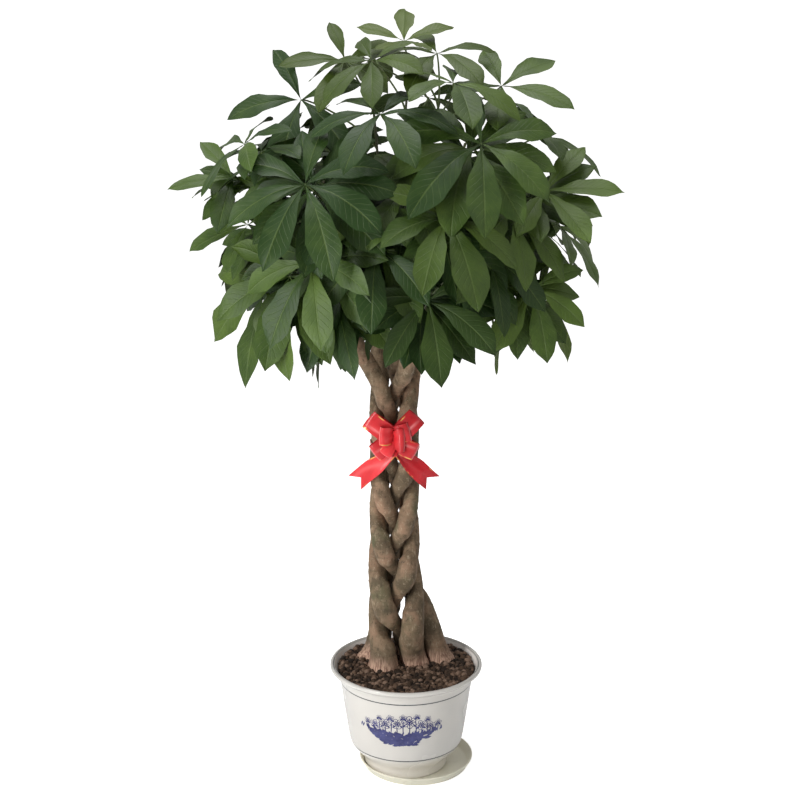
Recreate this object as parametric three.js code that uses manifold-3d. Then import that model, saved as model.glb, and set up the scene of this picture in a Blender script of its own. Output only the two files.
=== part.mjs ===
// Potted money tree: five braided stems with a round leafy crown, in a flared pot on its saucer.
// Millimetres, +Z up. The origin is on the ground under the pot's axis, and -Y is the front.

import * as THREE from 'three';
import { mergeVertices } from 'three/addons/utils/BufferGeometryUtils.js';
import Module from 'manifold-3d';

const wasm = await Module();
wasm.setup();

// Driving dimensions
const clearance = 0.3; // left between two pieces that touch

const saucer = {
  floorRadius: 103.5,
  rimRadius: 113,
  height: 18,
  wall: 2.4,
  lip: 1.2,
  shiftX: 20,
  sides: 32,
};

const pot = {
  sides: 30,
  wall: 3.6,
  floor: 4,
  footRadius: 82,
  shoulderRadius: 113,
  shoulderZ: 64,
  neckRadius: 132,
  neckZ: 190,
  rimRadius: 150,
  rimZ: 215,
  rimBead: 5,
};

const soil = { topZ: 203, rings: 10, grainHeight: 3.6, grainDip: 1.6, jitter: 1.2 };

const braid = {
  axisX: -23,
  axisY: 20,
  swing: 31, // sideways reach of a stem's middle from the axis
  depth: 34, // reach towards the front and the back
  period: 507, // height in which a stem comes back to its place
  leftTurnZ: 318, // height where the first stem is furthest left
  wideZ: 420, // below this the plait gets slower and wider
  slowing: 0.2,
  lowShift: 9, // sideways shift of its axis at the soil
  lowSwing: 7,
  seam: 1.8, // dark gap where two stems press on each other
  seamLook: [-0.75, -0.4, 0, 0.4, 0.75], // heights about a section where its neighbours count, in steps
  rootZ: 168,
  straightZ: 210, // below this the stems run straight down into the soil
  spreadZ: 765, // above this the stems lean apart
  step: 23,
  sides: 10,
};

// Where each stem meets the soil, the height above which it keeps to the plait, and the middle of its cut top
const stems = [
  { foot: [-44, -6], settleZ: 320, top: [-102, -5, 872] },
  { foot: [-56, 52], settleZ: 400, top: [-62, 86, 868] },
  { foot: [19, 20], settleZ: 300, top: [6, -44, 862] },
  { foot: [61, 36], settleZ: 430, top: [34, 70, 874] },
  { foot: [8, 68], settleZ: 300, top: [-28, 20, 850] },
];

// Stem radius along the height
const stemRadii = [
  [160, 28],
  [210, 27],
  [240, 24.5],
  [300, 23],
  [400, 20.5],
  [500, 17.6],
  [600, 16.8],
  [780, 16.2],
  [880, 15.5],
];

// Tips of the green shoots on each stem's cut top
const shootTips = [
  [[-190, -120, 1010], [-250, 20, 1060], [-150, -30, 1160]],
  [[-170, 180, 1040], [-50, 235, 1040], [-90, 120, 1210]],
  [[-70, -190, 1060], [70, -200, 1040], [10, -110, 1200], [175, -120, 1090]],
  [[190, 130, 1050], [80, 225, 1050], [110, 90, 1220], [235, 15, 1060]],
  [[-60, -10, 1290], [60, 5, 1300], [0, 70, 1300]],
];

const shoot = { rootRing: 8.4, rootSpacing: 1.1, rootRadius: 3.4, tipRadius: 2.4, sides: 5, segments: 5 };
const petiole = { rootRadius: 2.1, endRadius: 1.8, sides: 4, segments: 2, below: 95 };

const crown = {
  axisX: -5,
  axisY: 10,
  topZ: 1400,
  lowZ: 930,
  steepest: 78, // degrees by which the lowest leaves tip outwards
  spacing: 116, // least distance between the middles of two leaves
};

const leaflet = {
  thickness: 2,
  hubRadius: 7,
  widthShare: 0.42, // of the length
  droop: 1.15, // bend of a leaflet of full length under its own weight
  fullLength: 170,
  fold: 0.14, // how far the edges stand above the rib, as a share of the half width
  stations: [[0.3, 0.56], [0.62, 1], [0.85, 0.74]], // place along the rib, share of the half width
  smallStations: [[0.38, 0.74], [0.76, 0.94]], // of the small leaflets that point back
  smallFrom: 1.8, // radians from the middle of the leaf
  ribSteps: 12,
};

// Leaves on the crown's outline: middle x, y, z, turn in degrees, length, leaflets, tip towards the facing
// side, share of the usual droop, and facing in degrees
const outlineLeaves = [
  [-5, -20, 1405, 180, 106, 5, 27, 0.15, -90],
  [53, -40, 1384, -27, 150, 5, 35, 0.8, -90],
  [-109, -40, 1372, 6, 128, 5, 50, 0.45, -90],
  [-186, -60, 1304, -19, 162, 5, 60, 0.75, -95],
  [166, -60, 1328, 60, 150, 5, 32, 0.35, -90],
  [-302, -120, 1175, -8, 132, 5, 45, 0.3, -90],
  [-170, -230, 1172, 24, 180, 7, 55, 0.8, -95],
  [124, -200, 1237, -31, 194, 6, 50, 0.7, -85],
  [240, -120, 1150, 60, 152, 6, 42, 0.2, -90],
  [221, -150, 983, -18, 134, 6, 74, 1.2, -85],
  [-285, -60, 1085, -22, 125, 6, 45, 0.3, -120],
  [-205, -150, 1005, -3, 178, 6, 72, 0.9, -100],
  [-262, -110, 975, -4, 190, 6, 76, 0.9, -135],
];

// Leaves that show in front: middle x, y, z, turn in degrees, length, leaflets, tilt in degrees
const frontLeaves = [
  [235, -20, 1240, 0, 140, 5, -12],
  [-39, -160, 1271, 10, 160, 6, 0],
  [-300, -60, 1180, -15, 128, 5, -36],
  [71, -270, 1132, 0, 170, 7, 0],
  [-160, -235, 1040, 5, 168, 6, 0],
  [255, -60, 1085, 10, 145, 6, -6],
  [35, -225, 975, 24, 160, 6, 0],
  [-55, -245, 1065, -10, 160, 6, 0],
  [-140, -190, 990, 6, 160, 6, 0],
  [140, -205, 1030, 8, 150, 6, 0],
  [190, -175, 1115, 5, 155, 6, 0],
  [-60, -100, 1355, 0, 130, 6, 10],
  [62, -110, 1335, 12, 140, 6, 5],
  [-250, -110, 1232, -6, 145, 6, 0],
  [0, -215, 1175, 20, 155, 6, 0],
];

// Small moves that a leaf may make when its place is taken: out and up, then turn and tilt in degrees
const leafShifts = [[0, 0], [16, 0], [-16, 0], [0, 16], [0, -16], [26, 14], [-26, -14], [34, 0]];
const leafTurns = [[0, 0], [14, 0], [-14, 0], [28, 0], [-28, 0], [0, 12], [0, -12], [20, 10], [-20, 10]];

// Rings of leaves all round the crown, behind and between those in front: height, radius, leaves
const leafRings = [
  [1362, 95, 3],
  [1302, 180, 7],
  [1225, 240, 9],
  [1140, 285, 10],
  [1045, 300, 11],
  [955, 270, 10],
  [925, 150, 4],
];

const bow = {
  x: -21,
  z: 657, // height of the knot
  thickness: 1.2,
  tieHeight: 7,
  tieThickness: 1,
  knot: [22, 15, 26],
  loops: [
    { angle: 133, length: 76, width: 30, bulge: 17, lift: 0 },
    { angle: 55, length: 74, width: 30, bulge: 17, lift: 0 },
    { angle: 211, length: 42, width: 31, bulge: 18, lift: 3 },
    { angle: -25, length: 47, width: 29, bulge: 18, lift: 3 },
  ],
  tails: [
    { angle: 217, length: 100, width: 32, notch: 14 },
    { angle: -41, length: 94, width: 32, notch: 14 },
  ],
};

const colours = {
  plastic: 0xdad6d2,
  tray: 0xb5af9c,
  soil: 0x3c3026,
  bark: 0x6f614c,
  leaf: 0x40542f,
  ribbon: 0xca3f46,
};

const model = new THREE.Group();
model.name = 'potted_money_tree';
const up = new THREE.Vector3(0, 0, 1);

function vector(x, y, z) {
  return new THREE.Vector3(x, y, z);
}

// The same value each run: a small seeded generator
function seededRandom(seed) {
  let state = seed;
  return () => {
    state = (state + 0x6d2b79f5) | 0;
    let mixed = Math.imul(state ^ (state >>> 15), 1 | state);
    mixed = (mixed + Math.imul(mixed ^ (mixed >>> 7), 61 | mixed)) ^ mixed;
    return ((mixed ^ (mixed >>> 14)) >>> 0) / 4294967296;
  };
}

// Value of a table of [place, value] rows at a place between them
function interpolate(rows, place) {
  let last = rows[0];
  for (const row of rows) {
    if (row[0] >= place) {
      const share = row[0] === last[0] ? 0 : (place - last[0]) / (row[0] - last[0]);
      return THREE.MathUtils.lerp(last[1], row[1], share);
    }
    last = row;
  }
  return last[1];
}

function meshData(points, faces) {
  const geometry = new THREE.BufferGeometry();
  const numbers = points.flatMap((point) => [point.x, point.y, point.z]);
  geometry.setAttribute('position', new THREE.Float32BufferAttribute(numbers, 3));
  geometry.setIndex(faces.flat());
  return geometry;
}

function signedVolume(geometry) {
  const { index, attributes } = geometry;
  const corner = [vector(), vector(), vector()];
  let volume = 0;
  for (let i = 0; i < index.count; i += 3) {
    corner.forEach((point, k) => point.fromBufferAttribute(attributes.position, index.getX(i + k)));
    volume += corner[0].dot(corner[1].clone().cross(corner[2])) / 6;
  }
  return volume;
}

// Shared vertices merged, collapsed triangles dropped and faces turned outwards
function closed(geometry) {
  const bare = new THREE.BufferGeometry();
  bare.setAttribute('position', geometry.getAttribute('position'));
  if (geometry.index) bare.setIndex(geometry.index);
  const merged = mergeVertices(bare, 1e-3);
  const kept = [];
  for (let i = 0; i < merged.index.count; i += 3) {
    const [a, b, c] = [0, 1, 2].map((k) => merged.index.getX(i + k));
    if (a !== b && b !== c && a !== c) kept.push(a, b, c);
  }
  merged.setIndex(kept);
  if (signedVolume(merged) < 0) merged.setIndex(kept.reverse());
  return merged;
}

function solidOf(geometry) {
  const tidy = closed(geometry);
  return new wasm.Manifold(new wasm.Mesh({
    numProp: 3,
    vertProperties: Float32Array.from(tidy.attributes.position.array),
    triVerts: Uint32Array.from(tidy.index.array),
  }));
}

function geometryOf(solid) {
  const mesh = solid.getMesh();
  const geometry = new THREE.BufferGeometry();
  geometry.setAttribute('position', new THREE.BufferAttribute(Float32Array.from(mesh.vertProperties), 3));
  geometry.setIndex(Array.from(mesh.triVerts));
  return geometry;
}

function joined(geometries) {
  return geometryOf(geometries.map(solidOf).reduce((whole, piece) => whole.add(piece)));
}

function addPiece(name, geometry, color, roughness) {
  const tidy = closed(geometry);
  tidy.computeVertexNormals();
  const mesh = new THREE.Mesh(tidy, new THREE.MeshStandardMaterial({ color, roughness, metalness: 0 }));
  mesh.name = name;
  model.add(mesh);
  return mesh;
}

// Closed skin over a row of rings that have the same number of points
function loft(rings) {
  const sides = rings[0].length;
  const points = rings.flat();
  const faces = [];
  for (let level = 0; level < rings.length - 1; level += 1) {
    for (let side = 0; side < sides; side += 1) {
      const next = (side + 1) % sides;
      const [a, b] = [level * sides + side, level * sides + next];
      faces.push([a, b, b + sides], [a, b + sides, a + sides]);
    }
  }
  const last = (rings.length - 1) * sides;
  for (let side = 1; side < sides - 1; side += 1) {
    faces.push([0, side + 1, side], [last, last + side, last + side + 1]);
  }
  return meshData(points, faces);
}

// A profile of [radius, height] points turned round the vertical axis
function turned(profile, sides) {
  const geometry = new THREE.LatheGeometry(profile.map(([r, z]) => new THREE.Vector2(r, z)), sides);
  return geometry.rotateX(Math.PI / 2).rotateZ(Math.PI / 2);
}

// Saucer and pot
const potBottom = saucer.wall + clearance;

const potSide = new THREE.SplineCurve([
  [pot.footRadius, potBottom],
  [pot.footRadius + 3.5, 24],
  [pot.shoulderRadius - 7, 47],
  [pot.shoulderRadius, pot.shoulderZ],
  [(pot.shoulderRadius + pot.neckRadius) / 2, (pot.shoulderZ + pot.neckZ) / 2],
  [pot.neckRadius, pot.neckZ],
  [pot.neckRadius + 9, pot.neckZ + 12],
  [pot.rimRadius, pot.rimZ - pot.rimBead],
].map(([r, z]) => new THREE.Vector2(r, z)));

function potInner() {
  const floorZ = potBottom + pot.floor;
  return [
    [pot.footRadius - pot.wall, floorZ],
    [pot.footRadius + 2 - pot.wall, 27],
    [pot.shoulderRadius - 7 - pot.wall, 51],
    [pot.shoulderRadius - pot.wall, pot.shoulderZ + 4],
    [pot.neckRadius - pot.wall, pot.neckZ],
    [pot.neckRadius + 7 - pot.wall, pot.neckZ + 12],
    [pot.rimRadius - 9, pot.rimZ - 3],
  ];
}

function makeSaucer() {
  const { floorRadius, rimRadius, height, wall, lip } = saucer;
  const profile = [
    [0, 0],
    [floorRadius, 0],
    [rimRadius, height - lip],
    [rimRadius, height],
    [rimRadius - wall, height],
    [floorRadius - 1, wall],
    [0, wall],
  ];
  addPiece('saucer', turned(profile, saucer.sides).translate(saucer.shiftX, 0, 0), colours.tray, 0.35);
}

function makePot() {
  const profile = [
    [0, potBottom],
    ...potSide.getPoints(10).map((point) => [point.x, point.y]),
    [pot.rimRadius - 1, pot.rimZ - 1],
    [pot.rimRadius - 4, pot.rimZ],
    ...potInner().reverse(),
    [0, potBottom + pot.floor],
  ];
  addPiece('pot', turned(profile, pot.sides), colours.plastic, 0.3);
}

// Braided stems
function smooth(low, high, value) {
  return THREE.MathUtils.smoothstep(value, low, high);
}

// Middle of a stem at a height: a flat figure of eight, led to its foot below and its cut top above
function stemMiddle(index, height) {
  const { foot, settleZ, top } = stems[index];
  const z = Math.max(height, braid.straightZ);
  const plait = (level) => {
    const low = Math.max(0, braid.wideZ - level);
    const share = low / (braid.wideZ - braid.straightZ);
    const slowed = level + low * braid.slowing - braid.leftTurnZ;
    const turn = 2 * Math.PI * (slowed / braid.period + index / stems.length + 0.75);
    return [
      braid.axisX + braid.lowShift * share + (braid.swing + braid.lowSwing * share) * Math.sin(turn),
      braid.axisY - braid.depth * Math.sin(2 * turn),
    ];
  };
  const here = plait(z);
  const high = plait(top[2]);
  const climb = THREE.MathUtils.clamp((z - braid.straightZ) / (settleZ - braid.straightZ), 0, 1);
  const plaited = climb * (1.35 - 0.35 * climb);
  const spread = smooth(braid.spreadZ, top[2] + 60, z) / smooth(braid.spreadZ, top[2] + 60, top[2]);
  return [0, 1].map((k) => foot[k] * (1 - plaited) + here[k] * plaited + (top[k] - high[k]) * spread);
}

// Half planes that the neighbours of a stem leave it, from a little below a height to a little above
function stemNeighbours(index, height) {
  const planes = [];
  for (const level of braid.seamLook.map((share) => height + share * braid.step)) {
    const [x, y] = stemMiddle(index, level);
    stems.forEach((_, other) => {
      const [otherX, otherY] = stemMiddle(other, level);
      const half = Math.hypot(otherX - x, otherY - y) / 2 - braid.seam / 2;
      if (other !== index) planes.push({ angle: Math.atan2(otherY - y, otherX - x), half });
    });
  }
  return planes;
}

// Section of a stem at a height, flattened where its neighbours press on it
function stemSection(index, height, extra = 0) {
  const [x, y] = stemMiddle(index, height);
  const [aboveX, aboveY] = stemMiddle(index, height + 1);
  const slope = Math.hypot(aboveX - x, aboveY - y);
  const leanAngle = Math.atan2(aboveY - y, aboveX - x);
  const radius = interpolate(stemRadii, height);
  const stretch = Math.sqrt(1 + slope * slope);
  const planes = stemNeighbours(index, height);
  const ring = [];
  for (let side = 0; side < braid.sides; side += 1) {
    const angle = (side / braid.sides) * 2 * Math.PI;
    let reach = radius / Math.hypot(Math.cos(angle - leanAngle) / stretch, Math.sin(angle - leanAngle));
    for (const plane of planes) {
      const towards = Math.cos(angle - plane.angle);
      if (towards > 0.05) reach = Math.min(reach, plane.half / towards);
    }
    reach += extra;
    ring.push(vector(x + reach * Math.cos(angle), y + reach * Math.sin(angle), height));
  }
  return ring;
}

// Heights of a stem's sections: the same for all stems, so that their seams agree
function stemLevels(index) {
  const topZ = stems[index].top[2];
  const levels = [braid.rootZ];
  for (let z = braid.straightZ; z < topZ - braid.step / 2; z += braid.step) levels.push(z);
  return [...levels, topZ];
}

function makeStem(index) {
  const rings = stemLevels(index).map((z) => {
    const section = stemSection(index, Math.max(z, braid.straightZ));
    return section.map((point) => point.setZ(z));
  });
  return addPiece(`trunk_${index + 1}`, loft(rings), colours.bark, 0.85);
}

// Hole in the soil that a stem stands in
function stemHole(index) {
  const section = stemSection(index, braid.straightZ, clearance + 0.05);
  const low = section.map((point) => point.clone().setZ(braid.rootZ - clearance));
  const high = section.map((point) => point.clone().setZ(soil.topZ + 30));
  return loft([low, high]);
}

// Soil: one body with a grainy top. Every third point of its hexagonal net is the crest of a grain.
function makeSoil() {
  const random = seededRandom(11);
  const wall = potInner();
  const inset = clearance + 0.2;
  const topRadius = interpolate(wall.map(([r, z]) => [z, r]), soil.topZ) - inset;
  const polygon = (angle) => {
    const half = Math.PI / pot.sides;
    return Math.cos(half) / Math.cos((((angle % (2 * half)) + 2 * half) % (2 * half)) - half);
  };
  const points = [vector(0, 0, soil.topZ + soil.grainHeight)];
  const faces = [];
  const ringStart = (ring) => (ring === 0 ? 0 : 1 + 3 * ring * (ring - 1));
  for (let ring = 1; ring <= soil.rings; ring += 1) {
    const edge = ring === soil.rings;
    for (let i = 0; i < 6 * ring; i += 1) {
      const angle = (i / (6 * ring)) * 2 * Math.PI;
      const radius = (topRadius * ring) / soil.rings;
      const crest = (2 * (i % ring) + ring) % 3 === 0;
      const shift = edge ? 0 : soil.jitter;
      const reach = radius * (edge ? polygon(angle) : 1);
      const height = crest ? soil.grainHeight * (0.5 + 0.5 * random()) : -soil.grainDip * random();
      points.push(vector(
        reach * Math.cos(angle) + shift * (random() - 0.5),
        reach * Math.sin(angle) + shift * (random() - 0.5),
        soil.topZ + (edge ? 0 : height),
      ));
    }
  }
  for (let ring = 0; ring < soil.rings; ring += 1) {
    const [inner, outer] = [ringStart(ring), ringStart(ring + 1)];
    const innerCount = Math.max(1, 6 * ring);
    for (let sector = 0; sector < 6; sector += 1) {
      for (let k = 0; k <= ring; k += 1) {
        const outerHere = outer + ((sector * (ring + 1) + k) % (6 * (ring + 1)));
        const outerNext = outer + ((sector * (ring + 1) + k + 1) % (6 * (ring + 1)));
        const innerHere = inner + ((sector * ring + k) % innerCount);
        faces.push([innerHere, outerHere, outerNext]);
        if (k < ring) faces.push([innerHere, outerNext, inner + ((sector * ring + k + 1) % innerCount)]);
      }
    }
  }
  const rim = 6 * soil.rings;
  const levels = wall.filter(([, z]) => z < soil.topZ - 5).reverse();
  let above = ringStart(soil.rings);
  for (const [radius, z] of levels) {
    const here = points.length;
    for (let i = 0; i < rim; i += 1) {
      const angle = (i / rim) * 2 * Math.PI;
      const reach = (radius - inset) * polygon(angle);
      const height = z + (z === wall[0][1] ? clearance : 0);
      points.push(vector(reach * Math.cos(angle), reach * Math.sin(angle), height));
    }
    for (let i = 0; i < rim; i += 1) {
      const next = (i + 1) % rim;
      faces.push([above + i, here + i, here + next], [above + i, here + next, above + next]);
    }
    above = here;
  }
  for (let i = 1; i < rim - 1; i += 1) faces.push([above, above + i + 1, above + i]);
  let body = solidOf(meshData(points, faces));
  stems.forEach((_, index) => {
    body = body.subtract(solidOf(stemHole(index)));
  });
  addPiece('soil', geometryOf(body), colours.soil, 0.95);
}

// Crossing test between two sets of triangles
function edgeCrosses(from, to, triangle) {
  const [a, b, c] = triangle;
  const ab = [b[0] - a[0], b[1] - a[1], b[2] - a[2]];
  const ac = [c[0] - a[0], c[1] - a[1], c[2] - a[2]];
  const way = [to[0] - from[0], to[1] - from[1], to[2] - from[2]];
  const px = way[1] * ac[2] - way[2] * ac[1];
  const py = way[2] * ac[0] - way[0] * ac[2];
  const pz = way[0] * ac[1] - way[1] * ac[0];
  const det = ab[0] * px + ab[1] * py + ab[2] * pz;
  if (Math.abs(det) < 1e-9) return false;
  const tx = from[0] - a[0];
  const ty = from[1] - a[1];
  const tz = from[2] - a[2];
  const u = (tx * px + ty * py + tz * pz) / det;
  if (u < 0 || u > 1) return false;
  const qx = ty * ab[2] - tz * ab[1];
  const qy = tz * ab[0] - tx * ab[2];
  const qz = tx * ab[1] - ty * ab[0];
  const v = (way[0] * qx + way[1] * qy + way[2] * qz) / det;
  if (v < 0 || u + v > 1) return false;
  const t = (ac[0] * qx + ac[1] * qy + ac[2] * qz) / det;
  return t >= 0 && t <= 1;
}

function trianglesCross(one, two) {
  for (let k = 0; k < 3; k += 1) {
    if (edgeCrosses(one[k], one[(k + 1) % 3], two)) return true;
    if (edgeCrosses(two[k], two[(k + 1) % 3], one)) return true;
  }
  return false;
}

function boxOf(corners, margin) {
  const box = [[Infinity, Infinity, Infinity], [-Infinity, -Infinity, -Infinity]];
  for (const corner of corners) {
    for (let k = 0; k < 3; k += 1) {
      box[0][k] = Math.min(box[0][k], corner[k] - margin);
      box[1][k] = Math.max(box[1][k], corner[k] + margin);
    }
  }
  return box;
}

function boxesMeet(one, two) {
  return [0, 1, 2].every((k) => one[0][k] <= two[1][k] && two[0][k] <= one[1][k]);
}

// Triangles of a shape with their boxes, ready for the crossing test
function obstacle(geometry, owner, isStalk) {
  const position = geometry.attributes.position;
  const triangles = [];
  for (let i = 0; i < geometry.index.count; i += 3) {
    const corners = [0, 1, 2].map((k) => {
      const vertex = geometry.index.getX(i + k);
      return [position.getX(vertex), position.getY(vertex), position.getZ(vertex)];
    });
    triangles.push({ corners, box: boxOf(corners, 0.4) });
  }
  return { owner, isStalk, triangles, box: boxOf(triangles.flatMap((triangle) => triangle.corners), 0.4) };
}

function obstaclesCross(one, two) {
  if (!boxesMeet(one.box, two.box)) return false;
  const near = two.triangles.filter((triangle) => boxesMeet(triangle.box, one.box));
  if (near.length === 0) return false;
  const meets = (triangle, other) => boxesMeet(triangle.box, other.box)
    && trianglesCross(triangle.corners, other.corners);
  return one.triangles.some((triangle) => boxesMeet(triangle.box, two.box)
    && near.some((other) => meets(triangle, other)));
}

// Round stalk along a curve, from one radius to another. A last ring may lie in a given plane.
function stalk(curve, fromRadius, toRadius, sides, segments, firstNormal, lastNormal) {
  const rings = [];
  let across = null;
  for (let i = 0; i <= segments; i += 1) {
    const share = i / segments;
    let along = curve.getTangent(share);
    if (i === 0 && firstNormal) along = firstNormal.clone();
    if (i === segments && lastNormal) along = lastNormal.clone();
    if (!across) across = vector(1, 0.3, 0.2);
    across = across.clone().addScaledVector(along, -across.dot(along)).normalize();
    const other = along.clone().cross(across);
    const radius = THREE.MathUtils.lerp(fromRadius, toRadius, share);
    const middle = curve.getPoint(share);
    rings.push(Array.from({ length: sides }, (_, side) => {
      const angle = (side / sides) * 2 * Math.PI;
      return middle.clone()
        .addScaledVector(across, radius * Math.cos(angle))
        .addScaledVector(other, radius * Math.sin(angle));
    }));
  }
  return loft(rings);
}

// The green shoots, in rings on the cut tops of the stems
function makeShoots() {
  const shoots = [];
  shootTips.forEach((tips, index) => {
    const [topX, topY, topZ] = stems[index].top;
    const ways = tips.map(([x, y]) => new THREE.Vector2(x - topX, y - topY).normalize());
    const middleWay = ways.reduce((sum, way) => sum.add(way), new THREE.Vector2()).angle();
    const zero = new THREE.Vector2();
    const back = middleWay - Math.PI;
    const headings = ways.map((way) => way.rotateAround(zero, -back).angle() + back);
    const order = [...headings.keys()].sort((one, two) => headings[one] - headings[two]);
    const seats = [];
    order.forEach((which) => {
      seats.push(Math.max(headings[which], (seats.at(-1) ?? -10) + shoot.rootSpacing));
    });
    const drift = seats.reduce((sum, seat, place) => sum + seat - headings[order[place]], 0) / seats.length;
    order.forEach((which, place) => {
      const seat = seats[place] - drift;
      const root = vector(
        topX + shoot.rootRing * Math.cos(seat),
        topY + shoot.rootRing * Math.sin(seat),
        topZ + clearance,
      );
      const tip = vector(...tips[which]);
      const middle = root.clone().lerp(tip, 0.3).setZ(THREE.MathUtils.lerp(root.z, tip.z, 0.55));
      const curve = new THREE.QuadraticBezierCurve3(root, middle, tip);
      const { rootRadius, tipRadius, sides, segments } = shoot;
      const stem = stalk(curve, rootRadius, tipRadius, sides, segments, up);
      shoots.push({ root, tip, curve, stalk: stem, leaves: [] });
    });
  });
  return shoots;
}

// How far a leaf tips outwards in degrees: the lower it grows on the crown, the steeper it hangs
function usualTip(z) {
  const share = THREE.MathUtils.clamp((crown.topZ - z) / (crown.topZ - crown.lowZ), 0, 1);
  return crown.steepest * share ** 0.8;
}

// Frame of a palmate leaf that tips towards an azimuth
function leafFrame(x, y, z, azimuth, turn, tip) {
  const steep = THREE.MathUtils.degToRad(tip);
  const outward = vector(Math.cos(azimuth), Math.sin(azimuth), 0);
  const normal = outward.clone().multiplyScalar(Math.sin(steep)).addScaledVector(up, Math.cos(steep));
  const forward = outward.clone().multiplyScalar(Math.cos(steep)).addScaledVector(up, -Math.sin(steep));
  forward.applyAxisAngle(normal, THREE.MathUtils.degToRad(turn));
  const side = normal.clone().cross(forward);
  return { hub: vector(x, y, z), normal, forward, side };
}

// Angles and lengths of the leaflets: the outer one is the longest
function leafletFan(count, length, limp, random) {
  const spread = 180 - 240 / (count + 0.5);
  return Array.from({ length: count }, (_, i) => {
    const degrees = THREE.MathUtils.lerp(-spread, spread, i / (count - 1)) + 6 * (random() - 0.5);
    const size = length * (1 - 0.42 * (Math.abs(degrees) / 180) ** 1.4) * (0.95 + 0.1 * random());
    return { angle: THREE.MathUtils.degToRad(degrees), length: size, limp };
  });
}

// Points of one leaflet's sections. The rib leaves the leaf's plane upwards and bends down by its weight.
function leafletSections(frame, blade) {
  const heading = frame.forward.clone().multiplyScalar(Math.cos(blade.angle))
    .addScaledVector(frame.side, Math.sin(blade.angle));
  const droop = blade.limp * leaflet.droop * (blade.length / leaflet.fullLength) ** 1.5;
  const sections = [];
  const point = frame.hub.clone();
  const width = blade.length * leaflet.widthShare * 0.5;
  let travelled = 0;
  const stations = Math.abs(blade.angle) > leaflet.smallFrom ? leaflet.smallStations : leaflet.stations;
  for (const [place, share] of [...stations, [1, 0]]) {
    const steps = Math.round((place - travelled) * leaflet.ribSteps);
    let along = heading;
    for (let i = 0; i < steps; i += 1) {
      const middle = travelled + ((place - travelled) * (i + 0.5)) / steps;
      along = heading.clone().addScaledVector(frame.normal, 0.28 * (1 - middle))
        .addScaledVector(up, -droop * middle).normalize();
      point.addScaledVector(along, (blade.length * (place - travelled)) / steps);
    }
    travelled = place;
    const normal = frame.normal.clone().addScaledVector(along, -frame.normal.dot(along)).normalize();
    const right = along.clone().cross(normal);
    const raise = leaflet.fold * width * share;
    sections.push({
      left: point.clone().addScaledVector(right, -width * share).addScaledVector(normal, raise),
      right: point.clone().addScaledVector(right, width * share).addScaledVector(normal, raise),
      top: point.clone().addScaledVector(normal, leaflet.thickness / 2),
      bottom: point.clone().addScaledVector(normal, -leaflet.thickness / 2),
      middle: point.clone(),
    });
  }
  return sections;
}

// One closed blade of several leaflets round a hub. Both faces are split alike.
function leafBlade(frame, blades) {
  const { hub, normal, forward, side } = frame;
  const points = [
    hub.clone().addScaledVector(normal, leaflet.thickness * 0.6),
    hub.clone().addScaledVector(normal, -leaflet.thickness * 0.6),
  ];
  const faces = [];
  const owners = [];
  const add = (point) => points.push(point) - 1;
  const notches = blades.map((blade, i) => {
    const last = i === blades.length - 1;
    const next = last ? blades[0].angle + 2 * Math.PI : blades[i + 1].angle;
    const angle = (blade.angle + next) / 2;
    return add(hub.clone()
      .addScaledVector(forward, leaflet.hubRadius * Math.cos(angle))
      .addScaledVector(side, leaflet.hubRadius * Math.sin(angle)));
  });
  blades.forEach((blade, i) => {
    const sections = leafletSections(frame, blade);
    const before = (i + blades.length - 1) % blades.length;
    let near = { left: notches[i], right: notches[before], top: 0, bottom: 1 };
    const first = faces.length;
    sections.slice(0, -1).forEach((section) => {
      const far = {
        left: add(section.left),
        right: add(section.right),
        top: add(section.top),
        bottom: add(section.bottom),
      };
      faces.push([near.left, near.top, far.left], [near.top, far.top, far.left]);
      faces.push([near.top, near.right, far.right], [near.top, far.right, far.top]);
      faces.push([near.left, far.left, near.bottom], [near.bottom, far.left, far.bottom]);
      faces.push([near.bottom, far.right, near.right], [near.bottom, far.bottom, far.right]);
      near = far;
    });
    const tip = add(sections[sections.length - 1].middle);
    faces.push([near.left, near.top, tip], [near.top, near.right, tip]);
    faces.push([near.left, tip, near.bottom], [near.bottom, tip, near.right]);
    owners.push([first, faces.length]);
  });
  return { points, faces, owners };
}

// Where a leaf's stalk leaves its shoot: some way below the leaf
function stalkRoot(branch, hub) {
  const share = (hub.z - petiole.below - branch.root.z) / (branch.tip.z - branch.root.z);
  return THREE.MathUtils.clamp(share, 0.5, 0.97);
}

function leafStalk(branch, frame) {
  const root = branch.curve.getPoint(stalkRoot(branch, frame.hub));
  const reach = root.distanceTo(frame.hub);
  const outset = branch.curve.getTangent(stalkRoot(branch, frame.hub)).multiplyScalar(0.5)
    .addScaledVector(frame.hub.clone().sub(root).normalize(), 0.5);
  const arrival = frame.normal.clone().multiplyScalar(0.7).addScaledVector(frame.forward, 0.5).normalize();
  const curve = new THREE.CubicBezierCurve3(
    root,
    root.clone().addScaledVector(outset, reach * 0.35),
    frame.hub.clone().addScaledVector(arrival, -reach * 0.3),
    frame.hub.clone(),
  );
  const { rootRadius, endRadius, sides, segments } = petiole;
  return stalk(curve, rootRadius, endRadius, sides, segments, null, frame.normal);
}

// Crown: each leaf takes the first of a row of slightly turned, shifted or tipped places that is clear
function leafTrials() {
  const trials = [];
  for (const branchRank of [0, 1, 2]) {
    for (const [shift, rise] of leafShifts) {
      for (const [turn, tilt] of leafTurns) {
        trials.push({ branchRank, shift, rise, turn, tilt });
      }
    }
  }
  return trials;
}

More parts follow.
